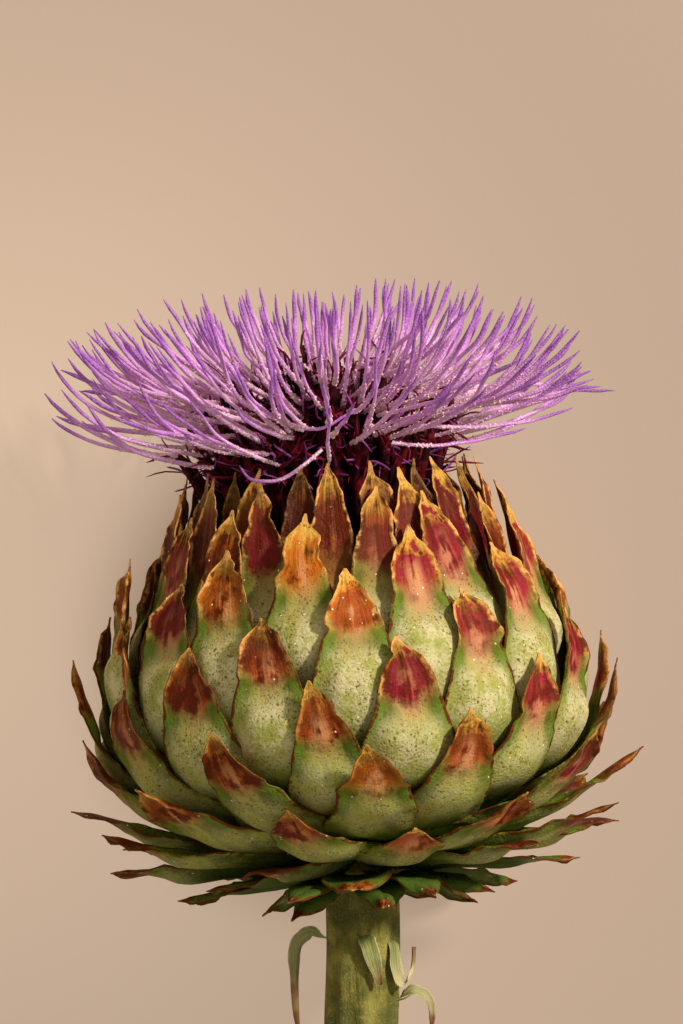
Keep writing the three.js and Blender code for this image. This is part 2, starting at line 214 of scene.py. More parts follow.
def tip_height(n):
    if n > COLLAR_DROOP:
        return COLLAR_RISE * (COLLAR_DROOP - n) + grown_past(n)
    return climbed(MIDDLE_TIP, TIP_RISE, n) + grown_past(n)


def tip_arc(n):
    return climbed(MIDDLE_ARC, TIP_ARC, n) + grown_past(n)


print(f"the tips are {tip_height(COLLAR_END):.1f} to {tip_height(CROWN_TOP):.1f} mm from the stem's top")

# %% Where a tip is
TIP_REACH = [  # distance from the stem's top, radius
    (-6, 18), (-2.5, 28), (0, 37), (5.5, 47), (11, 52), (20, 55), (29, 56.5),
    (36, 50.6), (49, 46.3), (64.7, 36.7), (80.4, 29.9), (94, 28.6),
]
UPPER_CLOSED = 0.65  # how much less the tips flare on the side that lies uppermost
LOOSEST = 5.5  # how much further a tip at the two sides may stand out


def tip_point(n, turn):
    """The tip of bract n as a radius and a distance from the stem's top."""
    height = tip_height(n)
    facing_up = math.cos(math.radians(turn))
    table = (AXIS_Z + 1) / -facing_up if facing_up < -0.1 else math.inf
    head = np.interp(height, outline[:, 1], outline[:, 0])
    flared = along(TIP_REACH, height) - head
    flared *= 1 - UPPER_CLOSED * smooth(facing_up, 0.35, 0.9) * smooth(height, -2, 6)
    loose = np.random.default_rng(100 + n).uniform(-0.5, LOOSEST) * bump(facing_up, 0, 0.4)
    flared += loose * smooth(height, 28, 40) * (1 - smooth(height, 74, 90))
    return np.array([head + max(0, min(flared, table - head)), height])


print("bract 0 ends at a radius of", tip_point(0, FIRST_TURN)[0].round(1), "mm")

# %% [markdown]
# ## A bract
#
# A bract is a fleshy blade. It ends in a dried spearhead, slightly hollow, with raised and torn
# papery edges and a small spine. Short ends keep the shape of a point 8 mm long. At the foot of the
# spearhead is a waist, which fades on the low bracts, below that a puffed shoulder, and further
# down the blade is flat, with thin wavy margins that hug the bracts under it.
#
# It could be modelled once and copied, but no two are alike. So a grid follows each blade: its rows
# crowd together toward the tip and its columns toward the margins, where the detail is. Each point
# also keeps two marks for the finish: where it is on the blade, and how ruddy, golden, scorched and
# old this bract is.

# %% Measures of a bract
BRACT_LENGTH = 46
SPEARHEAD, SHORTEST_POINT = 11.5, 8  # the pointed end that BLADE describes, and the least it shrinks to
LOWER_BLADE = 50  # the part below the pointed end, which keeps its length
BLADE = [  # distance below the tip, half width
    (0, 0.25), (0.8, 0.75), (2, 1.6), (4.2, 3.2), (7.4, 4.9), (10, 5.8), (12, 6.2), (14, 6.9),
    (17.5, 8.1), (22, 9.6), (30, 12), (50, 14),
]
FULL_WAIST = 0.8
THIN_MARGIN, FLESHY = 0.25, 0.9  # thickness at the margins, and how much more there is in the middle
ROW_CROWDING, COLUMN_CROWDING = 1.4, 1.25
TIP_FLUSH, SLOPE, CROWN_LAYER = 7, 0.21, 0.13  # how a bract dives under the ones above it
SINGLE = dict(
    root=5, width=1, slender=1, half_angle=30, deepest=math.inf, rim=0, rows=48, columns=24,
    puff=2.2, hollow=1, curl=1.6, wing=0.3, cup=0, torn=1, flare=2, waist=FULL_WAIST,
)


def midline(n, turn, kind, share):
    """Points (radius, height) down the middle of a bract, from its tip at share 0 to its root."""
    arc = tip_arc(n)
    root = max(kind["root"], arc - BRACT_LENGTH)
    here = arc - share * (arc - root)
    layer = CROWN_LAYER * max(0, CROWN_START - n)
    dive = np.minimum(SLOPE * np.maximum(0, arc - here - TIP_FLUSH), kind["deepest"]) + layer
    to_rim = np.maximum(0, kind["rim"] - dive) * smooth(share, 0.65, 1)
    lift = tip_point(n, turn) - under(arc, 0)
    return under(here, dive + to_rim) + lift * (1 - share[:, None]) ** kind["flare"]


print("bract 0 runs", midline(0, FIRST_TURN, SINGLE, np.array([0, 1])).round(), "(radius, height)")

# %% Width and torn edges
def half_width(rng, kind, below, pointed):
    """Half the blade's width at each distance below the tip, before its edges are torn."""
    described = [0, SPEARHEAD, SPEARHEAD + LOWER_BLADE]
    in_blade = np.interp(below, [0, pointed, pointed + LOWER_BLADE], described)
    slender = kind["slender"] + (1 - kind["slender"]) * smooth(below, 4, 16)
    half = along(BLADE, in_blade) * kind["width"] * slender
    half = half + 1.6 * (FULL_WAIST - kind["waist"]) * bump(in_blade, 12.5, 4)
    blunt = kind["torn"] * rng.uniform(-0.2, 1)
    return half * (1 + blunt * (0.5 * bump(in_blade, 3.4, 1.8) - 0.4 * bump(in_blade, 1.1, 0.9)))


def torn_side(rng, below, half, pointed, torn):
    """One side's half width, with the tears and bites that its dried edge has."""
    papery = torn * smooth(below, 0, 2) * (1 - 0.75 * smooth(below, pointed, pointed + 3))
    bite = rng.uniform(-1.3, 0.6) * bump(below / pointed, rng.uniform(0.3, 1.1), 0.09)
    return half * rng.uniform(0.9, 1.08) + papery * (
        ragged(rng, below, 0.9, 0.3) + ragged(rng, below, 3.5, 0.45) + bite
    )


print("a bract is", 2 * max(half for _, half in BLADE), "mm wide at its root")

# %% [markdown]
# ## How a bract stands out
#
# The dried end is hollow with a low rib, the waist is pinched, the shoulder is puffed and the
# papery margins are wavy. Sculpting would give one good bract. Functions that say how far each
# point stands out give all of them a relief of their own, because each draws its own numbers.

# %% Relief
def middle_relief(rng, kind, below, end, u, across):
    """How far the blade stands out across its middle: spearhead, waist and shoulder."""
    near_tip = np.clip(1 - end, 0, 1) ** 2
    off_middle = np.abs(u)
    twist = rng.uniform(-0.16, 0.16) * smooth(end, 0, 0.8) * np.exp(-below / 16)
    rise = near_tip * rng.uniform(-0.3, kind["curl"]) + twist * across

    # The spearhead is hollow, with a low rib down its middle and papery margins that curl up.
    spear = smooth(end, 0.08, 0.4) * (1 - smooth(end, 0.85, 1.2))
    rib = 0.25 * bump(u, 0, 0.13)
    rise = rise + kind["hollow"] * spear * (0.9 * off_middle**4 - 0.45 * (1 - u**2) + rib)

    # The waist, then the shoulder: full across the middle, gone at the margins.
    middle = 1 - smooth(off_middle, 0.3, 0.95)
    rise = rise - kind["waist"] * middle * bump(end, 1.25, 0.22)
    shoulder = smooth(end, 1.15, 1.75) * (1 - smooth(end, 1.8, 3.1))
    return rise + kind["puff"] * shoulder * middle + kind["cup"] * smooth(end, 0.3, 1.2) * (0.4 - u**2)


def margin_relief(rng, kind, below, end, u):
    """How far one margin and then the other stand out: wavy when dry, a green wing below that."""
    rise = 0
    for side in (-1, 1):
        edge = smooth(side * u, 0.45, 1)
        wing = kind["wing"] * rng.uniform(0.3, 1.7) * bump(end, rng.uniform(1.2, 1.7), 0.4)
        papery = 1 - 0.7 * smooth(end, 1, 1.5)
        wave = papery * (ragged(rng, below, 1.6, 0.4) + ragged(rng, below, 5, 0.6))
        hug = 0.45 * smooth(end, 1.3, 2.2)
        rise = rise + edge * (wing - hug + np.maximum(wave, -0.4) * smooth(end, 0, 0.2))
    return rise


print("the shoulder of a single bract stands out", SINGLE["puff"], "mm")

# %% [markdown]
# ## From measures to a blade
#
# At each step from tip to root a row of points is laid across the blade, as wide as the measures
# say and standing out as the relief says. The inner skin repeats the outer one a thickness deeper.
# A flat sheet bent round the head would stretch, but rows laid round the axis keep their width.

# %% Grow a blade
def blade(n, kind, dried_end, look):
    """The outer and inner skins of bract n as grids of points, with their marks."""
    rng = np.random.default_rng(900 + n)
    turn = FIRST_TURN - GOLDEN_TURN * n
    share = np.linspace(0, 1, kind["rows"]) ** ROW_CROWDING
    line = midline(n, turn, kind, share)
    below = np.concatenate([[0], np.cumsum(np.linalg.norm(np.diff(line, axis=0), axis=1))])
    onward = -np.gradient(line, axis=0)
    onward /= np.linalg.norm(onward, axis=1)[:, None]
    outward = np.stack([onward[:, 1], -onward[:, 0]], axis=1)

    pointed = max(dried_end, SHORTEST_POINT)
    half = half_width(rng, kind, below, pointed)
    limit = np.radians(kind["half_angle"]) * line[:, 0]
    sides = [torn_side(rng, below, half, pointed, kind["torn"]) for _ in range(2)]
    left, right = (np.minimum(side, limit)[:, None] for side in sides)
    u = np.linspace(-1, 1, kind["columns"] + 1)
    u = np.sign(u) * (1 - (1 - np.abs(u)) ** COLUMN_CROWDING)
    across = u * np.where(u < 0, left, right)

    below = below[:, None]
    end = below / pointed
    bent_tip = np.clip(1 - end, 0, 1) ** 2 * rng.uniform(-1.5, 1.5)
    leaned = leaned_round(n) * (1 - share[:, None]) ** 1.5
    around = turn + leaned + np.degrees((across + bent_tip) / line[:, :1])
    rise = middle_relief(rng, kind, below, end, u, across) + margin_relief(rng, kind, below, end, u)
    thickness = THIN_MARGIN + FLESHY * smooth(below, 3, 14) * (1 - u**2)
    skins = []
    for depth in (0 * thickness, thickness):
        radius = line[:, :1] + outward[:, :1] * (rise - depth)
        height = line[:, 1:] + outward[:, 1:] * (rise - depth)
        skins.append(place(radius, around, height))
    where = np.broadcast_to(u, across.shape), np.broadcast_to(below / dried_end, across.shape)
    marks = [np.stack([*where, np.full(across.shape, side)], axis=-1) for side in (0.0, 1.0)]
    looks = np.broadcast_to(look, (2 * across.size, 4))
    return np.array(skins), np.array(marks).reshape(-1, 3), looks


print("each skin of a single bract is a grid of", SINGLE["rows"], "by", SINGLE["columns"] + 1, "points")

# %% [markdown]
# ## Closing the skin
#
# The outer and the inner grid become one closed skin: the outer faces in one order, the inner ones
# in the other, and a narrow strip all round the margin joins them. A Solidify modifier could thicken
# a sheet too, but the bract is thin at its margins and fleshy in its middle. Winding the faces the
# right way from the start means that no normals need repair afterwards.

# %% Close a skin
def closed_faces(rows, columns, start=0):
    """Faces of two grids of points, one over the other, that together make a closed skin."""
    index = start + np.arange(2 * rows * columns).reshape(2, rows, columns)
    outer, inner = index

    def strip(a, b):
        return np.stack([a[:-1], a[1:], b[1:], b[:-1]], axis=-1).reshape(-1, 4)

    faces = [strip(outer[:, i], outer[:, i + 1]) for i in range(columns - 1)]
    faces += [strip(inner[:, i + 1], inner[:, i]) for i in range(columns - 1)]
    faces += [strip(inner[:, 0], outer[:, 0]), strip(outer[:, -1], inner[:, -1])]
    faces += [strip(outer[0], inner[0]), strip(inner[-1], outer[-1])]
    return np.vstack(faces)


print(len(closed_faces(3, 3)), "faces close two grids of 3 by 3 points")

# %% [markdown]
# ## From a mesh to a piece
#
# Each finer skin stands for one part of the imported model, so it hangs from the one body there is,
# the part it replaces is hidden and its mesh carries its finish. Marks on the points could be
# painted by hand as well, but the bract knows them while it grows, so they are stored with the
# mesh and the finish reads them by name.

# %% Make a piece
def mark_points(mesh, label, values):
    """Keeps a number, a vector or a colour for each point, under a name that a finish can read."""
    width = values.shape[1] if values.ndim > 1 else 1
    kinds = {1: ("FLOAT", "value"), 3: ("FLOAT_VECTOR", "vector"), 4: ("FLOAT_COLOR", "color")}
    kind, field = kinds[width]
    mark = mesh.attributes.new(label, kind, "POINT")
    mark.data.foreach_set(field, np.ascontiguousarray(values, np.float32).ravel())


def as_piece(name, mesh, node):
    """An object for a finished mesh, standing for the CAD node it replaces."""
    piece = bpy.data.objects.new(name, mesh)
    bpy.context.scene.collection.objects.link(piece)
    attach(piece, "root")
    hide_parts(node)


def to_piece(name, points, faces, finish, node, marks):
    """A piece from points in millimetres, their faces and their marks."""
    mesh = bpy.data.meshes.new(name)
    mesh.from_pydata((points * MM).tolist(), [], list(faces))
    for label, values in marks.items():
        mark_points(mesh, label, values)
    mesh.materials.append(finish)
    mesh.shade_smooth()
    as_piece(name, mesh, node)


def leaves_to_piece(name, blades, finish, node):
    """Several bracts as one piece."""
    points, faces, marks, looks = [], [], [], []
    for skins, mark, look in blades:
        rows, columns = skins.shape[1:3]
        faces.append(closed_faces(rows, columns, sum(len(p) for p in points)))
        points.append(lie_down(skins).reshape(-1, 3))
        marks.append(mark)
        looks.append(look)
    labels = {"leaf_place": np.vstack(marks), "leaf_look": np.vstack(looks)}
    to_piece(name, np.vstack(points), np.vstack(faces).tolist(), finish, node, labels)


print("a mark on a point can be a number, a vector or a colour")

# %% [markdown]
# ## Nodes
#
# Finishes and strands are both made by trees of nodes, and each node is one small step. They could
# be wired by hand in the editor. This helper adds a node and hands back what it puts out instead,
# so that a long tree reads as a recipe and an amount can be found and changed in one place.

# %% A helper for trees of nodes
class Nodes:
    """Adds nodes to a tree. An input is linked to another node's output or set to a value."""

    def __init__(self, tree):
        self.tree = tree

    def node(self, kind, inputs, **settings):
        node = self.tree.nodes.new(kind)
        for name, value in settings.items():
            setattr(node, name, value)
        for socket, value in inputs.items():
            self.feed(node.inputs[socket], value)
        return node

    def feed(self, socket, value):
        if isinstance(value, bpy.types.NodeSocket):
            self.tree.links.new(value, socket)
        else:
            socket.default_value = value

    def joined(self, x=0.0, y=0.0, z=0.0):
        return self.node("ShaderNodeCombineXYZ", {0: x, 1: y, 2: z}).outputs[0]

    def math(self, operation, a, b=0.0):
        return self.node("ShaderNodeMath", {0: a, 1: b}, operation=operation).outputs[0]

    def times(self, *values):
        total = values[0]
        for value in values[1:]:
            total = self.math("MULTIPLY", total, value)
        return total

    def plus(self, *values):
        total = values[0]
        for value in values[1:]:
            total = self.math("ADD", total, value)
        return total

    def band(self, value, start, end, low=0.0, high=1.0):
        """Eases from low to high as value goes from start to end."""
        inputs = {"Value": value, "From Min": start, "From Max": end, "To Min": low, "To Max": high}
        node = self.node("ShaderNodeMapRange", inputs, interpolation_type="SMOOTHSTEP")
        return node.outputs["Result"]


# %% [markdown]
# ## Mixing finishes
#
# A finish is a base colour, what is laid over it and where. A picture of a bract could be wrapped
# round each one, but it would stretch and repeat. Patterns made from noise never do. They use the
# object's own coordinates in metres, so the number given to a noise is how many cells there are to
# a metre: 1000 makes cells of a millimetre.

# %% Colours
def colour(r, g, b):
    """A colour as a painter's card gives it, from 0 to 255."""
    card = np.array([r, g, b]) / 255
    linear = np.where(card <= 0.04045, card / 12.92, ((card + 0.055) / 1.055) ** 2.4)
    return (*linear, 1.0)


print(f"the middle grey of a card is {colour(128, 128, 128)[0]:.2f} in even light")

# %% A helper for finishes
class Finish(Nodes):
    """A material under construction. Its methods add a node and give back what it puts out."""

    def __init__(self, name, **constants):
        self.material = bpy.data.materials.new(name)
        self.material.use_nodes = True
        super().__init__(self.material.node_tree)
        self.shader = self.tree.nodes["Principled BSDF"]
        for socket, value in constants.items():
            self.shader.inputs[socket.replace("_", " ")].default_value = value
        self.coordinates = self.tree.nodes.new("ShaderNodeTexCoord").outputs["Object"]

    def mark(self, name):
        return self.node("ShaderNodeAttribute", {}, attribute_name=name)

    def parts(self, vector):
        return self.node("ShaderNodeSeparateXYZ", {0: vector}).outputs

    def away_from(self, point):
        """Distance from a point, in metres."""
        inputs = {0: self.coordinates, 1: point}
        return self.node("ShaderNodeVectorMath", inputs, operation="DISTANCE").outputs["Value"]

    def noise(self, per_metre, detail=3.0, vector=None, roughness=0.5):
        inputs = {"Vector": vector or self.coordinates, "Scale": per_metre, "Detail": detail}
        inputs["Roughness"] = roughness
        return self.node("ShaderNodeTexNoise", inputs).outputs["Fac"]

    def spots(self, per_metre, vector=None):
        """Distance to the nearest scattered point, and a random value for each point."""
        inputs = {"Vector": vector or self.coordinates, "Scale": per_metre}
        node = self.node("ShaderNodeTexVoronoi", inputs)
        chance = self.node("ShaderNodeSeparateColor", {0: node.outputs["Color"]})
        return node.outputs["Distance"], chance.outputs[0]

    def shift(self, value, size):
        """A noise turned into a shift to both sides: from -size/2 to size/2."""
        return self.times(self.math("SUBTRACT", value, 0.5), size)

    def uneven(self, value, *noises):
        """A value with noises added, each given as a pair of the noise and the size of its shift."""
        return self.plus(value, *(self.shift(noise, size) for noise, size in noises))

    def capped(self, value):
        return self.math("MINIMUM", value, 1.0)

    def rare(self, chance, share):
        """1 for a share of the scattered points and 0 for the others."""
        return self.math("LESS_THAN", chance, share)

    def blend(self, a, b, *amounts):
        """Colour a with colour b laid over it, as much as all the amounts together let through."""
        inputs = {0: self.times(*amounts), 6: a, 7: b}
        return self.node("ShaderNodeMix", inputs, data_type="RGBA").outputs[2]

    def relief(self, height, depth_mm):
        inputs = {"Height": height, "Distance": depth_mm * MM, "Strength": 1.0}
        return self.node("ShaderNodeBump", inputs).outputs["Normal"]

    def finished(self, base, roughness=None, normal=None):
        for socket, value in (("Base Color", base), ("Roughness", roughness), ("Normal", normal)):
            if value is not None:
                self.feed(self.shader.inputs[socket], value)
        return self.material

# %% [markdown]
# ## Skin of a bract
#
# Green flesh under a whitish down, which is thickest on the shoulder below the dried end. The down
# is kept to the top of the shoulder, where the light falls brightest, so it is partly a painted
# highlight, and the lower, flat part of the blade is darkened as painted shade. The dried end runs
# from a golden spine and margins through brown to crimson, and its colour reaches furthest down in
# the middle. Fine dark flecks are scattered over both, with a few grains of pale dust. The
# innermost bracts are golden-brown all over, with dark lower halves, and the outermost dark green.
# A last hidden ring of bracts is painted near-black, as painted shade inside the neck.
#
# Painting each bract would be slow and one picture wrapped round them all would show. The marks
# made with the mesh tell the finish where on the blade it is and how old, ruddy, golden and
# scorched the bract is, so one recipe serves them all and no two come out alike.

# %% Patterns that the bract finish shares
class BractPatterns:
    """Where a point is on its bract, what that bract is like, and the noises its finish uses."""

    def __init__(self, f):
        self.u, self.end, self.inside = f.parts(f.mark("leaf_place").outputs["Vector"])
        look = f.mark("leaf_look")
        self.ruddy, self.golden, self.scorched = f.parts(look.outputs["Vector"])
        self.age = look.outputs["Alpha"]
        self.off_middle = f.math("ABSOLUTE", self.u)
        self.crown = f.band(self.age, 0.11, 0.06)
        self.collar = f.band(self.age, 0.6, 0.9)
        own_place = f.plus(f.times(self.ruddy, 37.0), f.times(self.golden, 91.0))
        narrow = f.joined(f.times(self.u, 9.0), f.times(self.end, 1.4), own_place)
        wide = f.joined(f.times(self.u, 4.0), f.times(self.end, 1.1), f.plus(own_place, 7.0))
        self.fibres = f.noise(1.0, 3, narrow, 0.65)
        self.streaks = f.noise(1.0, 2, wide)
        self.patches = f.noise(230, 4)
        self.blotches = f.noise(460, 3)
        self.fine = f.noise(1700, 3)
        self.streaked = f.uneven(self.patches, (self.streaks, 0.8))


# %% Flesh
def bract_flesh(f, p):
    flesh = f.blend(colour(150, 152, 72), colour(84, 100, 36), p.collar)
    flesh = f.blend(flesh, colour(158, 96, 36), p.crown)
    deep = f.blend(colour(78, 94, 22), colour(54, 74, 18), p.collar)
    deep = f.blend(deep, colour(64, 26, 8), p.crown)
    beside = f.times(f.band(p.off_middle, 0.3, 0.7), f.band(p.end, 0.9, 1.1), f.band(p.end, 1.7, 1.2))
    # Painted shade: the lower, flat part of the blade is darkened toward the deep green.
    painted_shade_below = f.band(p.end, 1.9, 3.4, 0.0, 0.85)
    mottled = f.band(p.streaked, 0.44, 0.66, 0.0, f.band(p.age, 0.36, 0.56, 0.45, 0.8))
    skin = f.blend(flesh, deep, f.capped(f.plus(painted_shade_below, mottled, f.times(beside, 0.8))))

    # Fresher green on both sides of the waist.
    fresh = f.times(f.band(p.off_middle, 0.55, 0.85), f.band(p.end, 0.95, 1.15), f.band(p.end, 1.8, 1.2))
    skin = f.blend(skin, colour(100, 126, 40), fresh, f.band(p.age, 0.2, 0.3), 0.8)

    # Whitish down on the shoulder, thinner on the older bracts. It is kept to the top of the shoulder,
    # where the light falls brightest, so it is partly a painted highlight.
    down_and_painted_highlight = f.times(f.band(p.end, 1.1, 1.6), f.band(p.end, 3.0, 1.9), f.band(p.off_middle, 1.0, 0.55))
    patchy = f.band(f.uneven(p.patches, (p.streaks, 0.5), (p.fine, 0.6)), 0.3, 0.68, 0.05, 1.0)
    skin = f.blend(skin, colour(206, 196, 152), down_and_painted_highlight, patchy, f.band(p.age, 0.34, 0.6, 0.95, 0.3))

    # The inner side is a plainer green, except in the crown.
    below_crown = f.math("SUBTRACT", 1.0, p.crown)
    inner = f.blend(colour(122, 148, 38), colour(70, 96, 28), p.collar)
    return f.blend(skin, inner, p.inside, below_crown, 0.85)


# %% [markdown]
# ## The dried end
#
# From its tip down each bract has dried to thin paper. Its fibres run lengthwise, so the colours
# are streaky: dark brown where the paper is thick, gold where light gets through, and crimson where
# the sun has reddened it. Later it scorches in patches, and its skin rubs off down the middle. One
# mixed colour would look flat, so these coats are laid over each other in the order they come.

# %% Dried end: brown, gold and crimson
def brown_to_gold(f, p):
    varnished = f.times(f.band(p.age, 0.26, 0.14), f.band(p.end, 0.3, 0.75))
    light = f.uneven(p.golden, (p.fibres, 0.6), (p.streaks, 1.8), (p.patches, 1.8), (p.blotches, 1.3))
    light = f.plus(light, f.band(p.end, 0.5, 0.1, 0.0, 0.2), f.times(varnished, -0.5))
    deeper = f.band(f.uneven(p.end, (p.blotches, 1.2)), 0.1, 0.6)
    gold = f.blend(colour(240, 186, 84), colour(206, 112, 14), deeper)
    paper = f.blend(colour(88, 30, 4), gold, f.band(light, 0.1, 1.1))
    return f.blend(paper, colour(84, 30, 4), f.band(p.age, 0.2, 0.1), f.band(p.end, 0.1, 0.5), 0.4)


def blushed(f, p, paper):
    tone = f.plus(f.times(p.fibres, 0.2), f.times(p.streaks, 0.4), f.times(p.patches, 0.4))
    crimson = f.blend(colour(104, 8, 24), colour(172, 44, 60), f.band(tone, 0.4, 0.6))
    crimson = f.blend(crimson, colour(98, 8, 18), f.band(p.age, 0.26, 0.1), 0.65)
    zone = f.uneven(p.end, (p.patches, 0.8), (p.blotches, 0.6))
    blush = f.times(f.band(p.off_middle, 0.92, 0.66), f.band(zone, 0.24, 0.46), p.ruddy)
    shows = f.band(f.uneven(p.blotches, (p.streaks, 0.8)), 0.36, 0.52, 0.3, 1.0)
    return f.blend(paper, crimson, f.capped(f.times(blush, shows, 1.4)))


# %% Dried end: scorches, bare skin and margins
def weathered(f, p, paper):
    scorch = f.times(f.band(f.uneven(p.patches, (p.streaks, 0.5), (p.fine, 0.2)), 0.43, 0.56), p.scorched)
    inland = f.times(f.band(p.end, 1.05, 0.6), f.band(p.off_middle, 0.98, 0.7, 0.25, 0.95))
    paper = f.blend(paper, colour(56, 18, 5), scorch, inland, f.band(p.end, 0.03, 0.14))
    bare = f.times(f.band(p.off_middle, 0.5, 0.1), f.band(p.end, 0.35, 0.8), f.band(p.streaked, 0.42, 0.6))
    bare = f.times(bare, f.band(p.golden, 0.3, 0.8, 0.4, 0.85), f.band(p.age, 0.1, 0.3, 0.2, 1.0))
    paper = f.blend(paper, colour(208, 148, 102), bare)
    burnt = f.times(f.band(p.off_middle, 0.45, 0.8), f.band(p.end, 0.35, 0.75))
    burnt = f.times(burnt, f.band(p.blotches, 0.42, 0.56), f.band(p.golden, 0.9, 0.4, 0.2, 0.85))
    return f.blend(paper, colour(82, 32, 10), burnt)


def pale_margins(f, p, paper):
    margin = f.band(f.uneven(p.off_middle, (p.fine, 0.15), (p.blotches, 0.5)), 0.8, 1.0)
    spine = f.band(f.uneven(p.end, (p.fine, 0.25)), 0.2, 0.06)
    pale = f.times(f.capped(f.plus(margin, spine)), f.band(p.blotches, 0.4, 0.58, 0.1, 1.0))
    pale = f.times(pale, f.band(p.age, 0.54, 0.38, 0.25, 1.0))
    return f.blend(paper, colour(236, 176, 104), pale, f.band(p.golden, 0.0, 0.6, 0.45, 1.0))


# %% Rim, flecks and dust
FLECKS = (2100, 0.6, 0.4), (1200, 0.4, 0.32), (700, 0.28, 0.32)  # how many to a metre, share, size


def rimmed(f, p, skin, dried):
    """A thin line along the margin: dark brown beside the flesh, pale on a golden dried end."""
    brown_edge = f.times(f.band(p.end, 0.8, 1.1), f.band(p.end, 2.2, 1.2), 0.06)
    place_across = f.plus(f.uneven(p.off_middle, (p.fine, 0.06), (p.blotches, 0.2)), brown_edge)
    broken = f.band(f.uneven(p.patches, (p.fine, 0.5)), 0.38, 0.5, 0.35, 1.0)
    tone = f.times(dried, f.band(p.patches, 0.42, 0.54), f.band(p.golden, 0.2, 0.6))
    tone = f.times(tone, f.band(p.age, 0.52, 0.38, 0.2, 1.0))
    rim = f.blend(colour(96, 46, 16), colour(232, 168, 96), tone)
    return f.blend(skin, rim, f.band(place_across, 0.96, 0.985), broken)


def speckled(f, p, skin, dried):
    shoulder = f.times(f.band(p.end, 1.0, 1.3), f.band(p.end, 2.9, 2.0, 0.3, 1.0))
    crowd = f.times(f.band(f.noise(150, 2), 0.4, 0.6, 0.15, 1.0), f.plus(0.5, shoulder))
    brown = f.blend(colour(100, 66, 28), colour(92, 24, 8), dried)
    for per_metre, share, size in FLECKS:
        distance, chance = f.spots(per_metre)
        fleck = f.band(f.uneven(distance, (p.fine, 0.6)), size, 0.4 * size)
        skin = f.blend(skin, brown, fleck, f.rare(chance, f.times(crowd, share)), 0.7)
    distance, chance = f.spots(900)
    grain = f.band(f.uneven(distance, (p.fine, 0.5)), 0.2, 0.1)
    return f.blend(skin, colour(240, 222, 190), grain, f.rare(chance, 0.06))


print(len(FLECKS), "sizes of dark flecks and one of pale dust")

# %% [markdown]
# ## One finish for every bract
#
# The coats above come together here. The dried end reaches down the bract to a ragged line, past
# which the skin fades to green. The papery part is glossier than the downy flesh and its fibres
# stand out in low relief. That relief could be modelled, but it is finer than the mesh, and a bump
# in the finish needs no more points.

# %% Bract finish
DOWNY_ROUGHNESS, VARNISHED_ROUGHNESS = 0.75, 0.36


def bract_finish():
    f = Finish("bract_skin", Specular_IOR_Level=0.14, Specular_Tint=(1.0, 0.82, 0.6, 1.0))
    p = BractPatterns(f)
    skin = bract_flesh(f, p)
    reach = f.plus(p.end, f.times(p.off_middle, p.off_middle, 0.25))
    reach = f.uneven(reach, (p.fibres, 0.2), (p.patches, 0.6), (p.fine, 0.15))

    # Between flesh and dried end the skin fades to a pinkish tan.
    fading = f.times(f.band(reach, 1.6, 1.05), f.band(p.off_middle, 0.7, 0.2))
    fading = f.times(fading, f.plus(0.2, f.times(p.ruddy, 0.45)))
    fading = f.times(fading, f.band(p.age, 0.85, 0.65), f.band(p.age, 0.06, 0.18, 0.3, 1.0))
    skin = f.blend(skin, colour(206, 148, 116), fading)

    dried = f.band(reach, 1.28, f.plus(0.8, f.times(p.scorched, 0.2)))
    paper = pale_margins(f, p, weathered(f, p, blushed(f, p, brown_to_gold(f, p))))
    skin = f.blend(skin, paper, dried)
    skin = speckled(f, p, rimmed(f, p, skin, dried), dried)
    # Painted shade: the hidden innermost ring is painted near-black, for the deep shade inside the neck.
    skin = f.blend(skin, colour(34, 10, 4), f.band(p.age, 0.075, 0.0, 0.0, 0.85))
    shine = f.capped(f.plus(f.times(dried, 0.6), f.times(p.crown, 0.9)))
    roughness = f.plus(DOWNY_ROUGHNESS, f.times(shine, VARNISHED_ROUGHNESS - DOWNY_ROUGHNESS))
    fibrous = f.times(p.fibres, f.plus(0.1, f.times(dried, 0.35)))
    bumps = f.relief(f.plus(fibrous, f.times(p.fine, 0.5), f.times(p.patches, 0.9)), 0.45)
    return f.finished(skin, roughness, bumps)


BRACT_SKIN = bract_finish()
print("the finish of the bracts has", len(BRACT_SKIN.node_tree.nodes), "nodes")

# %% [markdown]
# ## The single bracts
#
# Forty-eight bracts are pieces of their own. No two dry alike: some ends are crimson, some golden
# and some scorched brown, and those on the sunny side and higher up are ruddier. The ones that lie
# uppermost have their looks chosen, one by one, and the others draw theirs at random. One loop
# grows them all, because the helpers above already know where each one goes.

# %% How each bract has dried and aged
DRIED = {  # bract: how ruddy, how golden and how scorched its dried end is
    -34: (0.2, 0.5, 0.2), -26: (0.6, 0.4, 0.4), -24: (0.3, 0.7, 0.5), -21: (0.3, 0.5, 0.3),
    -18: (0.1, 0.5, 0.4), -16: (1.0, 0.7, 0.4), -13: (0.1, 0.9, 0.1), -11: (0.8, 0.8, 0.3),
    -10: (0.6, 0.4, 0.5), -8: (1.0, 0.8, 0.3), -5: (0.1, 0.6, 0.5), -3: (1.0, 0.7, 0.3),
    0: (0.4, 0.95, 0.15), 3: (0.7, 0.3, 0.6), 5: (1.0, 0.5, 0.3), 8: (0.3, 0.4, 0.8),
    10: (0.9, 0.4, 0.4), 13: (0.8, 0.5, 0.5), 16: (0.25, 0.4, 0.7), 18: (1.0, 0.5, 0.2),
    21: (0.25, 0.6, 0.7), 26: (0.3, 0.6, 0.7), 29: (0.15, 0.5, 0.7), 31: (0.7, 0.4, 0.4),
    34: (0.0, 0.7, 0.7), 37: (0.1, 0.5, 0.5), 39: (0.3, 0.5, 0.5), 42: (0.3, 0.5, 0.4),
    47: (0.5, 0.8, 0.1),
}
AGE = [(-60, 0), (-34, 0.07), (-22, 0.13), (-12, 0.25), (20, 0.5), (48, 0.66), (62, 1)]  # bract, age
DRIED_LENGTH = [(-30, 19), (-10, 15), (4, 12), (30, 12), (48, 9), (60, 2.6)]  # bract, length


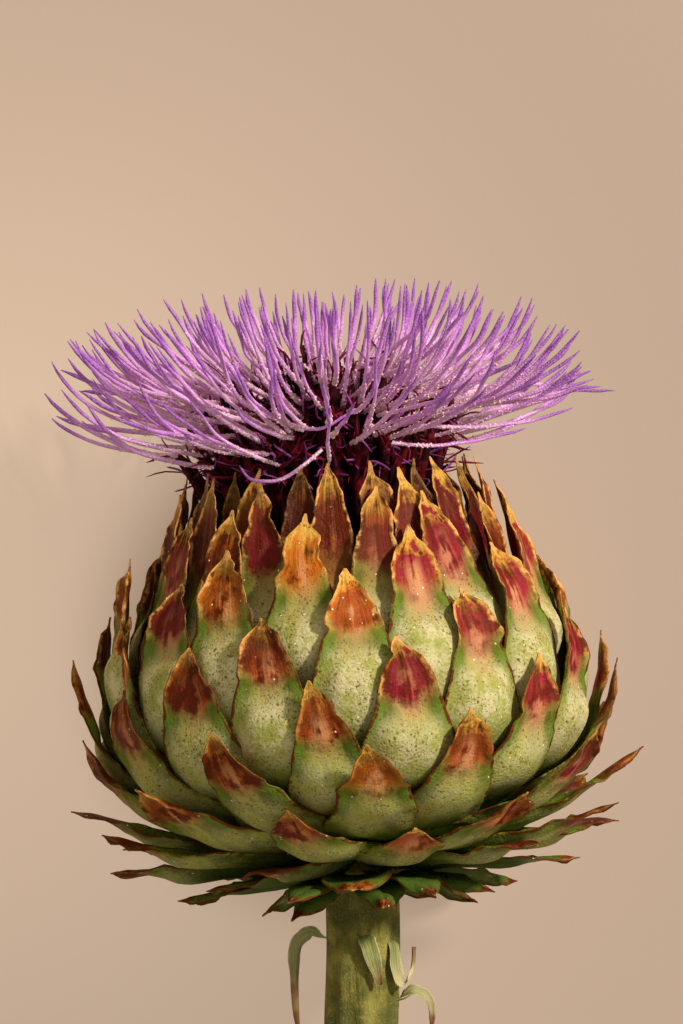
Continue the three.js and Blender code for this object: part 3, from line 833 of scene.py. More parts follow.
def look_of(n):
    """How ruddy, golden, scorched and old bract n is, each from 0 to 1."""
    rng = np.random.default_rng(400 + n)
    sunny = math.sin(math.radians(FIRST_TURN - GOLDEN_TURN * n))
    ruddy = (0.5 + 0.5 * sunny) * (1 - 0.7 * smooth(n, 19, 28)) + rng.uniform(-0.25, 0.25)
    ruddy -= smooth(n, 50, 60)
    golden = rng.uniform(0.1, 0.8) * (1 - 0.5 * smooth(n, 20, 34)) + 0.2 * (1 - smooth(n, -20, -8))
    scorched = rng.uniform(0.3, 1)
    return *DRIED.get(n, (np.clip(ruddy, 0.05, 1), golden, scorched)), along(AGE, n)


def dried_end(n):
    return float(along(DRIED_LENGTH, n))


print("bract 0 is", [round(float(share), 2) for share in look_of(0)], "ruddy, golden, scorched and old")

# %% Grow the single bracts
def low_on_head(n, high, low):
    """A measure that changes from the upper single bracts to the lowest ones."""
    return float(np.interp(n, [10, LAST_BRACT], [high, low]))


for n in range(FIRST_BRACT, LAST_BRACT + 1):
    node = f"bract_{n - FIRST_BRACT + 1:02d}"
    shape = {
        "wing": low_on_head(n, 0.3, 0.8), "curl": low_on_head(n, 1.6, 2.4),
        "puff": 2.2 - 1.5 * smooth(n, 8, 34), "waist": FULL_WAIST - 0.7 * smooth(n, 12, 30),
        "flare": low_on_head(n, 2, 2.6), "cup": low_on_head(n, 0, 1.3),
    }
    leaf = blade(n, {**SINGLE, **shape}, dried_end(n), look_of(n))
    leaves_to_piece(node + "_leaf", [leaf], BRACT_SKIN, node)
print(LAST_BRACT - FIRST_BRACT + 1, "single bracts")

# %% [markdown]
# ## The crown
#
# Under the flower the innermost bracts crowd together, narrow and dry nearly all the way down, with
# a varnished, golden-brown surface. They could be plain cones at this size, but their torn tips
# stand against the dark neck. So they are the same blades, a little more slender and with fewer
# rows, ending at uneven heights. Behind them stands a last ring that is barely seen, painted
# near-black all over as painted shade for the deep shade inside the neck.

# %% Grow the crown
CROWN = {
    **SINGLE, "root": 62.5, "slender": 0.93, "half_angle": 12, "rim": 10.6, "puff": 1.2,
    "hollow": 0.5, "curl": 1.0, "wing": 0.3, "rows": 34, "columns": 14,
}
HIDDEN_RING = 20
INNERMOST = CROWN_TOP - HIDDEN_RING
CROWN_WIDTH = [(INNERMOST, 0.7), (CROWN_TOP, 0.85), (-20, 1.0)]  # bract, width
crown = []
for n in range(INNERMOST, FIRST_BRACT):
    crown.append(blade(n, {**CROWN, "width": float(along(CROWN_WIDTH, n))}, dried_end(n), look_of(n)))
leaves_to_piece("crown_leaves", crown, BRACT_SKIN, "crown_bracts")
print(len(crown), "bracts in the crown")

# %% [markdown]
# ## The collar
#
# The lowest bracts get smaller and smaller around the stem. They grew first, so the last ones are
# just dark green leathery leaves that droop a little, with short brown ends. The same loop as
# before does this too, once it eases the shape from the belly's bracts to the smallest ones.

# %% Grow the collar
COLLAR = {**SINGLE, "root": 2.6, "deepest": 5.6, "waist": 0.1, "rows": 36, "columns": 18}
collar = []
for n in range(LAST_BRACT + 1, COLLAR_END + 1):
    small = float(smooth(n, 52, 60))
    shape = {
        "width": 1 - 0.35 * small, "puff": 1 - 0.6 * small, "cup": 2.1 - small,
        "curl": 2.4 - 2.4 * small, "wing": 0.8 - 0.6 * small, "torn": 1 - 0.85 * small, "flare": 3,
    }
    collar.append(blade(n, {**COLLAR, **shape}, dried_end(n), look_of(n)))
leaves_to_piece("collar_leaves", collar, BRACT_SKIN, "collar_bracts")
print(len(collar), "bracts in the collar")

# %% [markdown]
# ## The stem
#
# Inside the head the stem widens into the heart, which every bract and floret grows from. Outside
# it is a ribbed rod that bends a little and ends in a clean cut. Spinning an outline round the axis
# would make a turned rod, too perfect for a plant. So a stack of rings makes all of it: each ring
# has its own radius and its own shift to the side, and cosine ribs run along it. The cut face is
# rings too, with a soft hollow pith inside a firmer ring.

# %% Shape of the stem
STEM_RADIUS, STEM_END = 7.2, -61
STEM_RIB, STEM_RIBS = 0.28, 10  # height and number of the ribs
STEM_LEAN, STEM_BEND = 0.0734, 8  # sideways for each mm down, after bending over this length
HEART_DEPTH, HEART_TOP = 9.7, 34
RING_STEP = 0.8
CUT_FACE = [  # radius, how far in from the cut
    (0.6, 0.9), (1.8, 0.75), (3.2, 0.35), (4.4, 0.05), (5.4, 0.0), (6.2, 0.1), (6.7, 0.15), (7.0, 0.5),
]


def stem_shift(height):
    """How far the stem's middle is to the side: none in the head, then bending over to its lean."""
    past = np.maximum(0, 4 - height)
    return -STEM_LEAN * np.where(past < STEM_BEND, past**2 / (2 * STEM_BEND), past - STEM_BEND / 2)


def on_stem(radius, turn, height):
    points = place(radius, turn, height)
    points[..., 0] += stem_shift(np.asarray(height, float))
    return points


def stem_outline():
    """The radius and height of each ring: the cut, the rod, the heart and its flat top."""
    base = [tuple(under(arc, depth)) for arc, depth in ((2.5, 3), (5, 5), (7, 8))]
    heart = [*base, *(tuple(under(arc, HEART_DEPTH)) for arc in (12, 18, 30, 42, 50, 56.5))]
    rim = heart[-1][0]
    rod = [(STEM_RADIUS, height) for height in np.arange(STEM_END + 1.2, 1, RING_STEP)]
    cut = [(radius, STEM_END + depth) for radius, depth in CUT_FACE]
    return [*cut, *rod, *heart, (rim - 2, HEART_TOP), (0.5 * rim, HEART_TOP), (2, HEART_TOP)]


print(len(stem_outline()), "rings make the stem and the heart")

# %% Grow the stem
def rings_closed(rows, sides):
    """Faces of a stack of rings, with a fan to one last point at each end."""
    grid = np.arange(rows * sides).reshape(rows, sides)
    beside = np.roll(grid, -1, axis=1)
    quads = np.stack([grid[:-1], beside[:-1], beside[1:], grid[1:]], axis=-1).reshape(-1, 4)
    first, last = rows * sides, rows * sides + 1
    start = [(first, b, a) for a, b in zip(grid[0], beside[0])]
    end = [(last, a, b) for a, b in zip(grid[-1], beside[-1])]
    return [*quads.tolist(), *start, *end]


def grow_stem(sides=80):
    """Points, faces and marks: whether a point is on the cut face, its radius and its height."""
    line = stem_outline()
    radius, height = (np.array(column)[:, None] for column in zip(*line))
    turn = np.linspace(0, 360, sides, endpoint=False)[None, :]
    outside = smooth(radius, 5.8, 7) * (1 - smooth(height, 0, 5))
    around = np.radians(turn)
    ribs = STEM_RIB * np.cos(STEM_RIBS * around + 0.4 * np.sin(height / 9))
    lumps = 0.15 * np.sin(height / 5 + 3 * around) + 0.2 * np.sin(height / 13 + around)
    points = on_stem(radius + outside * (ribs + lumps), turn + 0 * height, height + 0 * turn)
    ends = [on_stem(0.0, 0.0, STEM_END + 1.0), on_stem(0.0, 0.0, HEART_TOP)]
    on_cut = np.arange(len(line))[:, None] < len(CUT_FACE)
    marks = np.stack(np.broadcast_arrays(on_cut, radius, height + 0 * turn), axis=-1)
    marks = np.vstack([marks.reshape(-1, 3), (1, 0, STEM_END), (0, 0, HEART_TOP)])
    return np.vstack([points.reshape(-1, 3), *ends]), rings_closed(len(line), sides), marks


stem_points, stem_faces, stem_marks = grow_stem()
print(f"the stem's mesh has {len(stem_faces)} faces")

# %% [markdown]
# ## The stem's skin and its cut
#
# The skin is a fibrous olive green with yellower strands, a thin down and a few round scars. The
# cut shows pale pith inside a green ring dotted with vessels. They could be two materials, but one
# is enough: each point of the mesh knows whether it is on the cut and how far from the middle.

# %% Finish of the stem
def stem_skin(f, mottle, strands, down):
    """Olive and yellow-green strands, darker patches, a thin down and a few round scars."""
    lighter = f.band(f.uneven(mottle, (strands, 0.8)), 0.35, 0.68)
    skin = f.blend(colour(98, 92, 28), colour(144, 134, 58), lighter)
    darker = f.band(f.uneven(f.noise(120, 3), (strands, 0.3)), 0.5, 0.64, 0.0, 0.75)
    skin = f.blend(skin, colour(64, 72, 22), darker)
    skin = f.blend(skin, colour(180, 170, 116), f.band(down, 0.5, 0.7), f.band(mottle, 0.4, 0.65, 0.1, 0.5))
    distance, chance = f.spots(130)
    return f.blend(skin, colour(72, 42, 14), f.band(distance, 0.24, 0.1), f.rare(chance, 0.12), 0.9)


def cut_pith(f, radius):
    """The cut face: pale pith, a green ring with brown vessels and dry patches."""
    pith = f.blend(colour(214, 206, 160), colour(150, 160, 92), f.band(radius, 3.4, 5.2))
    pith = f.blend(pith, colour(96, 104, 48), f.band(radius, 6.0, 6.8))
    dots, _ = f.spots(1500)
    ring = f.times(f.band(radius, 4.2, 4.8), f.band(radius, 6.2, 5.6))
    pith = f.blend(pith, colour(120, 96, 44), f.band(dots, 0.4, 0.25), ring, 0.7)
    return f.blend(pith, colour(146, 112, 60), f.band(f.noise(700, 4), 0.5, 0.7, 0.1, 0.6))


def stem_finish():
    f = Finish("stem_skin", Roughness=0.7, Specular_IOR_Level=0.3)
    cut, radius, _ = f.parts(f.mark("stem_place").outputs["Vector"])
    x, y, z = f.parts(f.coordinates)
    strands = f.noise(900, 4, f.joined(x, f.times(y, 0.12), z), 0.6)
    mottle, down = f.noise(190, 4), f.noise(2600, 2)
    skin = f.blend(stem_skin(f, mottle, strands, down), cut_pith(f, radius), cut)
    bumps = f.plus(strands, f.times(mottle, 0.6), f.times(down, 0.3))
    return f.finished(skin, normal=f.relief(bumps, 0.5))


STEM_SKIN = stem_finish()
lying, labels = lie_down(stem_points), {"stem_place": stem_marks}
to_piece("stem_skin", lying, stem_faces, STEM_SKIN, "stem", labels)
print("the finish of the stem has", len(STEM_SKIN.node_tree.nodes), "nodes")

# %% [markdown]
# ## Leaflets on the stem
#
# Four small leaves grow on the stem: a strap hanging at the left, a pointed scale lying on the
# front, a pale curled one beside it, and a strap low on the right. A flat leaf could be bent with a
# Curve modifier. Here each is a ribbon grown along a curved path that starts inside the skin,
# because its sides follow the stem's roundness first and then turn over with the twist.

# %% Where the leaflets grow
LEAFLETS = {  # path: degrees around the stem, how far out from its skin, distance from its top
    "left": dict(
        path=[
            (-83, -2, -9.2), (-84, 0.4, -8.4), (-86, 2.6, -7.6),
            (-88, 5, -10), (-89, 5.4, -17), (-89, 4.6, -27),
        ],
        twist=60, half_width=1.6, paleness=0.35,
    ),
    "front": dict(
        path=[(5, -2, -8.2), (6, 0, -9.4), (12, 0.3, -12), (18, 0.7, -15.5), (24, 1, -18.6)],
        twist=0, half_width=1.7, paleness=0.1,
    ),
    "right": dict(
        path=[
            (52, -2, -10), (52, 0, -11), (50, 0.8, -16),
            (60, 1.6, -18.6), (74, 2.4, -16.4), (80, 2.6, -11.8),
        ],
        twist=20, half_width=1.4, paleness=0.9,
    ),
    "low": dict(
        path=[(79, -2, -22.4), (80, 0.4, -21.6), (84, 2.6, -20.4), (86, 5.4, -22.4), (87, 5.8, -28)],
        twist=50, half_width=1.4, paleness=0.5,
    ),
}
print(len(LEAFLETS), "leaflets grow on the stem")

# %% A ribbon
LEAFLET_THICKNESS = 0.16  # on each side of the ribbon's middle


def ribbon_frame(path, twist, t):
    """The ribbon's middle, its sideways direction and its outward one, at shares t of the path."""
    spine = curve_through(path)
    share_on_path = np.linspace(0, 1, len(spine))
    turn, out, height = (np.interp(t, share_on_path, spine[:, k]) for k in range(3))
    middle = on_stem(STEM_RADIUS + 0.6 + out, turn, height)
    tangent = np.gradient(middle, axis=0)
    tangent /= np.linalg.norm(tangent, axis=1)[:, None]
    outward = middle - on_stem(0.0, 0.0, height)
    side = np.stack([outward[:, 2], 0 * height, -outward[:, 0]], axis=1)
    side -= tangent * np.sum(side * tangent, axis=1)[:, None]
    side /= np.linalg.norm(side, axis=1)[:, None]
    lift = np.cross(tangent, side)
    angle = np.radians(twist * smooth(t, 0.1, 0.5))[:, None]
    turned_side = side * np.cos(angle) + lift * np.sin(angle)
    turned_lift = lift * np.cos(angle) - side * np.sin(angle)
    return middle, turned_side, turned_lift


def ribbon(path, twist, half_width, paleness, rows=40, columns=8):
    """Two skins of a leaflet with their marks: place across, place along and paleness."""
    rng = np.random.default_rng(int(100 * half_width) + len(path))
    t = np.linspace(0, 1, rows)
    middle, side, lift = ribbon_frame(path, twist, t)
    width = half_width * np.sin(math.pi * (0.2 + 0.8 * t)) ** 0.6 + ragged(rng, 30 * t, 1.5, 0.12)
    u = np.linspace(-1, 1, columns + 1)
    across = np.maximum(width, 0.08)[:, None] * u
    channel = 0.35 * half_width * (u**2 - 0.4) * smooth(t, 0.1, 0.3)[:, None]
    wavy = (np.abs(u) ** 3) * ragged(rng, 30 * t, 2.5, 0.25)[:, None]
    skins = []
    for depth in (LEAFLET_THICKNESS, -LEAFLET_THICKNESS):
        stands_out = (channel + wavy + depth * (1.2 - u**2))[..., None]
        skins.append(middle[:, None] + side[:, None] * across[..., None] + lift[:, None] * stands_out)
    mark = np.stack(np.broadcast_arrays(u, t[:, None], paleness), axis=-1).reshape(-1, 3)
    return np.array(skins), np.vstack([mark, mark])


left_leaflet, _ = ribbon(**LEAFLETS["left"])
print(f"the left leaflet ends {STEM_TOP - left_leaflet[..., 1].min():.0f} mm below the head")

# %% Grow the leaflets
def leaflet_finish():
    f = Finish("leaflet_skin", Roughness=0.65, Specular_IOR_Level=0.3)
    u, t, paleness = f.parts(f.mark("leaf_place").outputs["Vector"])
    veins = f.noise(1.0, 3, f.joined(f.times(u, 5.0), f.times(t, 2.0), paleness), 0.6)
    skin = f.blend(colour(98, 110, 50), colour(146, 148, 84), f.band(veins, 0.35, 0.65))
    skin = f.blend(skin, colour(196, 184, 142), paleness, f.band(t, 0.2, 0.6))
    edge = f.band(f.uneven(f.math("ABSOLUTE", u), (f.noise(900, 2), 0.3)), 0.8, 0.98)
    skin = f.blend(skin, colour(206, 190, 146), edge, 0.8)
    withered = f.band(f.uneven(t, (f.noise(260, 3), 0.5)), 0.66, 0.95)
    skin = f.blend(skin, colour(112, 66, 30), withered, 0.9)
    return f.finished(skin, normal=f.relief(veins, 0.25))


LEAFLET_SKIN = leaflet_finish()
for side, shape in LEAFLETS.items():
    skins, marks = ribbon(**shape)
    faces = closed_faces(*skins.shape[1:3]).tolist()
    points, node = skins.reshape(-1, 3), f"leaflet_{side}"
    to_piece(node + "_leaf", points, faces, LEAFLET_SKIN, node, {"leaf_place": marks})
    print(f"the {side} leaflet has {len(faces)} faces")

# %% [markdown]
# ## One tree for every strand
#
# A floret is made of strands: a dark tube in the neck, curled lobes at its mouth and a long style
# that arches out and up. A strand could be modelled and copied by hand, but several hundred that
# all bend differently are work for Geometry Nodes. Each strand is one vertex that carries where it
# starts, bends and ends. The tree puts a short line on each vertex, bends it through those three
# points, ruffles it a little and gives it a thickness that changes half way and then tapers to a
# point.

# %% A helper for geometry trees
class Tree(Nodes):
    """Geometry nodes under construction, with named inputs for their sizes."""

    def __init__(self, name, sockets):
        super().__init__(bpy.data.node_groups.new(name, "GeometryNodeTree"))
        interface = self.tree.interface
        interface.new_socket("Geometry", in_out="OUTPUT", socket_type="NodeSocketGeometry")
        interface.new_socket("Geometry", in_out="INPUT", socket_type="NodeSocketGeometry")
        for label, kind in sockets.items():
            interface.new_socket(label, in_out="INPUT", socket_type="NodeSocket" + kind)
        self.given = self.node("NodeGroupInput", {}).outputs

    def vector(self, operation, a, b):
        return self.node("ShaderNodeVectorMath", {0: a, 1: b}, operation=operation).outputs[0]

    def scaled(self, a, amount):
        return self.node("ShaderNodeVectorMath", {0: a, 3: amount}, operation="SCALE").outputs[0]

    def read(self, name, kind="FLOAT"):
        return self.node("GeometryNodeInputNamedAttribute", {"Name": name}, data_type=kind).outputs[0]

    def between(self, a, b, share):
        return self.node("ShaderNodeMix", {0: share, 4: a, 5: b}, data_type="VECTOR").outputs[1]

    def turbulence(self, vector, scale):
        """A random vector that changes smoothly from place to place, on both sides of zero."""
        inputs = {"Scale": scale, "Detail": 1.0}
        if vector is not None:
            inputs["Vector"] = vector
        noise = self.node("ShaderNodeTexNoise", inputs).outputs["Color"]
        return self.vector("SUBTRACT", noise, (0.5, 0.5, 0.5))

    def finish(self, geometry):
        """Ends the tree as every one here ends: real faces, smooth, with the finish on them."""
        geometry = self.node("GeometryNodeRealizeInstances", {0: geometry}).outputs[0]
        geometry = self.node("GeometryNodeSetShadeSmooth", {0: geometry}).outputs[0]
        coated = self.node("GeometryNodeSetMaterial", {0: geometry, "Material": self.given["Finish"]})
        self.node("NodeGroupOutput", {0: coated.outputs[0]})
        return self.tree


# %% The strand tree
def ruffled_path(t, share):
    """Each point's place on the curve through its strand's start, bend and end, a little ruffled."""
    start, bend, end = (t.read(name, "FLOAT_VECTOR") for name in ("start", "bend", "end"))
    path = t.between(t.between(start, bend, share), t.between(bend, end, share), share)
    drift = t.joined(z=t.plus(t.times(share, 2.2), t.given["Seed"]))
    ruffle = t.turbulence(t.vector("ADD", t.scaled(start, 900.0), drift), 1.0)
    return t.vector("ADD", path, t.scaled(ruffle, t.times(t.given["Waviness"], share)))


def strand_tree():
    sizes = {"Steps": "Int", "Sides": "Int", "Thickness": "Float", "Swelling": "Float"}
    t = Tree("grow_strands", {**sizes, "Waviness": "Float", "Seed": "Float", "Finish": "Material"})
    line = t.node("GeometryNodeCurvePrimitiveLine", {})
    line = t.node("GeometryNodeResampleCurve", {0: line.outputs[0], "Count": t.given["Steps"]})
    rows = t.node("GeometryNodeInstanceOnPoints", {0: t.given["Geometry"], "Instance": line.outputs[0]})
    rows = t.node("GeometryNodeRealizeInstances", {0: rows.outputs[0]})
    share = t.node("GeometryNodeSplineParameter", {}).outputs["Factor"]
    inputs = {0: rows.outputs[0], "Position": ruffled_path(t, share)}
    placed = t.node("GeometryNodeSetPosition", inputs)
    swell = t.plus(1.0, t.times(t.given["Swelling"], t.band(share, 0.4, 0.75)))
    taper = t.band(share, 0.88, 1.02, 1.0, 0.2)
    thick = t.times(t.given["Thickness"], t.read("thick"), t.times(taper, swell))
    inputs = {0: placed.outputs[0], "Name": "share", "Value": share}
    marked = t.node("GeometryNodeStoreNamedAttribute", inputs)
    ring = t.node("GeometryNodeCurvePrimitiveCircle", {"Resolution": t.given["Sides"], "Radius": 1.0})
    inputs = {0: marked.outputs[0], 1: ring.outputs[0], "Scale": thick, "Fill Caps": True}
    return t.finish(t.node("GeometryNodeCurveToMesh", inputs).outputs[0])


STRANDS = strand_tree()
print("the strand tree has", len(STRANDS.nodes), "nodes")

# %% [markdown]
# ## Running a tree
#
# The vertices with their marks go into a throwaway object, the tree runs on it as a modifier, and
# what it makes is kept as a plain mesh. The modifier could stay live, but then nothing else could
# read its points. Its inputs are set by their identifiers before anything is evaluated, and marks
# that only the tree needed are dropped at the end.

# %% Run a tree
STRAND_MARKS = "start", "bend", "end", "thick"


def grown(name, source, tree, **inputs):
    """The plain mesh that a tree makes from a source mesh."""
    seed_bed = bpy.data.objects.new(name, source)
    bpy.context.scene.collection.objects.link(seed_bed)
    modifier = seed_bed.modifiers.new("grow", "NODES")
    modifier.node_group = tree
    for item in tree.interface.items_tree:
        if item.in_out == "INPUT" and item.name in inputs:
            modifier[item.identifier] = inputs[item.name]
    graph = bpy.context.evaluated_depsgraph_get()
    mesh = bpy.data.meshes.new_from_object(seed_bed.evaluated_get(graph))
    bpy.data.objects.remove(seed_bed)
    mesh.name = name
    for label in STRAND_MARKS:
        if label in mesh.attributes:
            mesh.attributes.remove(mesh.attributes[label])
    return mesh


def strand_points(start, bend, end, thick, tint):
    """One vertex for each strand, with its three points and its own thickness and tint."""
    mesh = bpy.data.meshes.new("strand_points")
    mesh.vertices.add(len(start))
    mesh.vertices.foreach_set("co", np.ascontiguousarray(start * MM, np.float32).ravel())
    for label, values in zip(STRAND_MARKS, (start * MM, bend * MM, end * MM, thick)):
        mark_points(mesh, label, values)
    mark_points(mesh, "tint", tint)
    return mesh


def mesh_to_piece(name, mesh, node):
    """A piece from a grown mesh. What would sink into the table is lifted onto it."""
    points = np.zeros(len(mesh.vertices) * 3, np.float32)
    mesh.vertices.foreach_get("co", points)
    points = lie_down(points.reshape(-1, 3) / MM, 0.15) * MM
    mesh.vertices.foreach_set("co", np.ascontiguousarray(points, np.float32).ravel())
    as_piece(name, mesh, node)


print("each strand carries", ", ".join(STRAND_MARKS), "and tint")

# %% [markdown]
# ## Where the florets go
#
# The florets fill the neck by the same golden turn as the bracts. Each opens on a low dome at the
# top of the neck, and its style ends on a wider dome. Styles near the middle stand almost straight
# and the outer ones leave sideways and curve up. On the left the outer ones lean out further and
# end higher. Points scattered at random would leave holes and clumps, which this spiral never does.

# %% The two domes
FLORETS = 290
DOME = [  # radius and distance from the stem's top of the outermost style ends
    (0, 119), (14, 120), (26, 119), (37, 117), (47, 112.5), (53.5, 105), (57, 94),
]
MOUTH_RADIUS, MOUTH_TOP, MOUTH_DROP = 25, 97, 8.5  # the low dome that the tubes open on
LEANING_SIDE, LEAN, LEFT_RISE = 272, 5, 6  # direction in degrees, then how far out and how far up


def away_from(turn, heading):
    """Degrees between two directions around the axis."""
    return np.abs((turn - heading + 180) % 360 - 180)


dome = curve_through(DOME)
dome_share = np.concatenate([[0], np.cumsum(np.linalg.norm(np.diff(dome, axis=0), axis=1))])
dome_share /= dome_share[-1]
rng = np.random.default_rng(7)
count = np.arange(FLORETS)
floret_turn = GOLDEN_TURN * count + rng.normal(0, 5, FLORETS)
floret_share = np.sqrt((count + 0.5) / FLORETS)
leaning = LEAN * bump(away_from(floret_turn, LEANING_SIDE), 0, 24) * smooth(floret_share, 0.86, 1)
mouth = np.stack([
    MOUTH_RADIUS * floret_share**0.9 + rng.normal(0, 0.8, FLORETS) + leaning,
    MOUTH_TOP - MOUTH_DROP * floret_share**2 + rng.normal(1, 3, FLORETS) - 0.2 * leaning,
], axis=1)
on_dome = np.clip(0.04 + 0.96 * floret_share + rng.normal(0, 0.03, FLORETS), 0, 1)
style_end = np.stack([np.interp(on_dome, dome_share, dome[:, k]) for k in (0, 1)], axis=1)
print(FLORETS, "florets open at", mouth[:, 1].min().round(), "to", mouth[:, 1].max().round(), "mm")

# %% Ends and bends of the styles
SHORTEST = 0.3  # the shortest styles are this share shorter than the dome
TABLE_GAP = 1

style_end -= (style_end - mouth) * rng.triangular(0, 0.03, SHORTEST, FLORETS)[:, None]
at_left = bump(away_from(floret_turn, LEANING_SIDE), 0, 60)
style_end[:, 1] += LEFT_RISE * at_left * bump(floret_share, 0.84, 0.14)
down = -np.cos(np.radians(floret_turn))
reach = np.where(down > 0.1, (AXIS_Z - TABLE_GAP) / np.maximum(down, 0.1), np.inf)
style_end[:, 0] = np.minimum(style_end[:, 0], reach)
style_bend = mouth + (style_end - mouth) * np.array([0.7, 0.22]) + rng.normal(0, 1.1, (FLORETS, 2))
swing = rng.normal(0, 4.5, FLORETS)
print("the widest style ends at a radius of", style_end[:, 0].max().round(1), "mm")

# %% Bundles of florets
CENTRE_RADIUS = 12
HEADINGS = {"up": 0, "right": 90, "under": 180, "left": 270}

in_centre = style_end[:, 0] < CENTRE_RADIUS
bundles = {"centre": in_centre}
for side, heading in HEADINGS.items():
    bundles[side] = ~in_centre & (away_from(floret_turn, heading) <= 45)
print({side: int(members.sum()) for side, members in bundles.items()}, "florets")

# %% [markdown]
# ## Styles
#
# A style is violet and a little downy. Its lower half is pale with pollen, and its last third is
# darker and ends in a point. Each style could have a material of its own. Instead the finish reads
# how far along its style a point is, which the tree stored on the way, and one serves them all. A
# few on the upper face have gone astray and lie across the others, and their points are listed.

# %% Style finish
def style_finish():
    f = Finish("style_violet", Roughness=0.7, Specular_IOR_Level=0.25)
    share = f.mark("share").outputs["Fac"]
    tint = f.mark("tint").outputs["Fac"]
    paler = f.uneven(f.times(tint, 0.8), (f.noise(300, 2), 0.5))
    body = f.blend(colour(202, 120, 222), colour(238, 180, 236), paler)
    body = f.blend(body, colour(144, 74, 178), f.band(share, 0.64, 0.88, 0.0, 0.85))
    body = f.blend(body, colour(226, 180, 208), f.band(share, 0.5, 0.05, 0.0, 0.6))
    grains = f.noise(2200, 2)
    dusty = f.times(f.band(grains, 0.48, 0.6), f.band(share, 0.85, 0.2, 0.15, 0.75))
    body = f.blend(body, colour(244, 222, 216), dusty)
    return f.finished(body, normal=f.relief(grains, 0.3))


STYLE_VIOLET = style_finish()
print("the finish of the styles has", len(STYLE_VIOLET.node_tree.nodes), "nodes")

# %% Grow the styles
STRAYS = [  # where each stray starts, bends and ends: radius, turn, distance from the stem's top
    [(29, -3, 86.6), (35, -24, 76.5), (31, -34, 85)],
    [(27, -31, 86.8), (34, -44, 88), (45, -52, 96.5)],
    [(30, 24, 87), (36, 40, 84), (44, 60, 88)],
    [(30, -14, 92), (37, -2, 89), (38, 9, 93.5)],
    [(30, 36, 90), (42, 52, 87), (52, 66, 91)],
]
STYLE_SIZES = {
    "Steps": 15, "Sides": 6, "Thickness": 0.43 * MM, "Swelling": -0.12, "Waviness": 3.4 * MM,
    "Seed": 3.0, "Finish": STYLE_VIOLET,
}
STRAY_THICKNESS = 0.75


def styles_of(members, side):
    """The three points of each style in a bundle, strays included."""
    turn = floret_turn[members]
    start = place(mouth[members, 0], turn, mouth[members, 1])
    bend = place(style_bend[members, 0], turn + 0.4 * swing[members], style_bend[members, 1])
    end = place(style_end[members, 0], turn + swing[members], style_end[members, 1])
    if side == "up":
        stray = np.array(STRAYS, float)
        extra = place(stray[..., 0], stray[..., 1], stray[..., 2])
        start, bend, end = (np.vstack([own, extra[:, k]]) for k, own in enumerate((start, bend, end)))
    return start, bend, end


style_mesh = {}
for side, members in bundles.items():
    start, bend, end = styles_of(members, side)
    rng = np.random.default_rng(100 + len(side))
    thick, tint = rng.uniform(0.8, 1.2, len(start)), rng.uniform(0, 1, len(start))
    thick[members.sum():] *= STRAY_THICKNESS
    mesh = grown(f"styles_{side}", strand_points(start, bend, end, thick, tint), STRANDS, **STYLE_SIZES)
    style_mesh[side] = mesh
    mesh_to_piece(f"styles_{side}", mesh, f"florets_{side}")
print(sum(len(mesh.polygons) for mesh in style_mesh.values()), "faces in the styles")

# %% [markdown]
# ## Tubes and lobes
#
# Below its style each floret is a tube. The tubes are painted a near-black maroon, painted shade
# that makes the gaps between the styles look black. At its mouth the tube splits in narrow violet
# lobes that curl every way. A single dark filling would be cheaper than hundreds of tubes, but light
# falls between them and shows them. The strand tree grows both: a lobe is a thin strand that starts
# on its tube and ends out in the open.

# %% Finish of tubes and lobes
def corolla_finish():
    f = Finish("corolla", Roughness=0.6, Specular_IOR_Level=0.12)
    tint = f.mark("tint").outputs["Fac"]
    # Painted shade: the tubes are a near-black maroon for the deep shade between the styles.
    body = f.blend(colour(34, 2, 4), colour(112, 10, 22), f.band(f.noise(300, 3), 0.44, 0.74))
    lobe = f.blend(colour(112, 18, 42), colour(166, 88, 170), f.band(tint, 0.66, 1.0))
    return f.finished(f.blend(body, lobe, f.band(tint, 0.0, 0.2)))


COROLLA = corolla_finish()
print("a tube has tint 0 and a lobe has more")

# %% Grow the tubes and lobes
LOBES = 7  # for each tube
TUBE_FOOT, TUBE_WAIST = (0.72, 62), (0.8, 80)  # share of the mouth's radius, distance from the stem's top
COROLLA_SIZES = {
    "Steps": 7, "Sides": 5, "Thickness": 0.95 * MM, "Swelling": 0.0, "Waviness": 1.5 * MM,
    "Seed": 8.0, "Finish": COROLLA,
}


def tubes_of(turn, opening):
    """Start, bend and end of each tube, from deep in the neck to just past its mouth."""
    low, waist = (
        np.stack([share * opening[:, 0], np.full(len(turn), float(height))], axis=1)
        for share, height in (TUBE_FOOT, TUBE_WAIST)
    )
    return [place(p[:, 0], turn, p[:, 1]) for p in (low, waist, opening + (opening - waist) * 0.2)]


def lobes_of(rng, turn, tubes):
    """Start, bend and end of the lobes, which leave their tube near its mouth and curl outward."""
    lobe_turn = np.repeat(turn, LOBES)
    up_tube = rng.uniform(0.55, 0.97, (len(lobe_turn), 1))
    first, second, last = (np.repeat(points, LOBES, axis=0) for points in tubes)
    foot = (1 - up_tube) ** 2 * first + 2 * up_tube * (1 - up_tube) * second + up_tube**2 * last
    outward = place(1.0, lobe_turn, 0) - place(0.0, lobe_turn, 0)
    away = rng.normal(0, 1, foot.shape)
    away /= np.linalg.norm(away, axis=1)[:, None]
    middle = foot + outward * 1.4 + away * 2.4 + (0, 1.4, 0)
    tip = middle + outward * 0.6 + rng.normal(0, 2.2, foot.shape) + (0, 0.4, 0)
    return foot, middle, tip


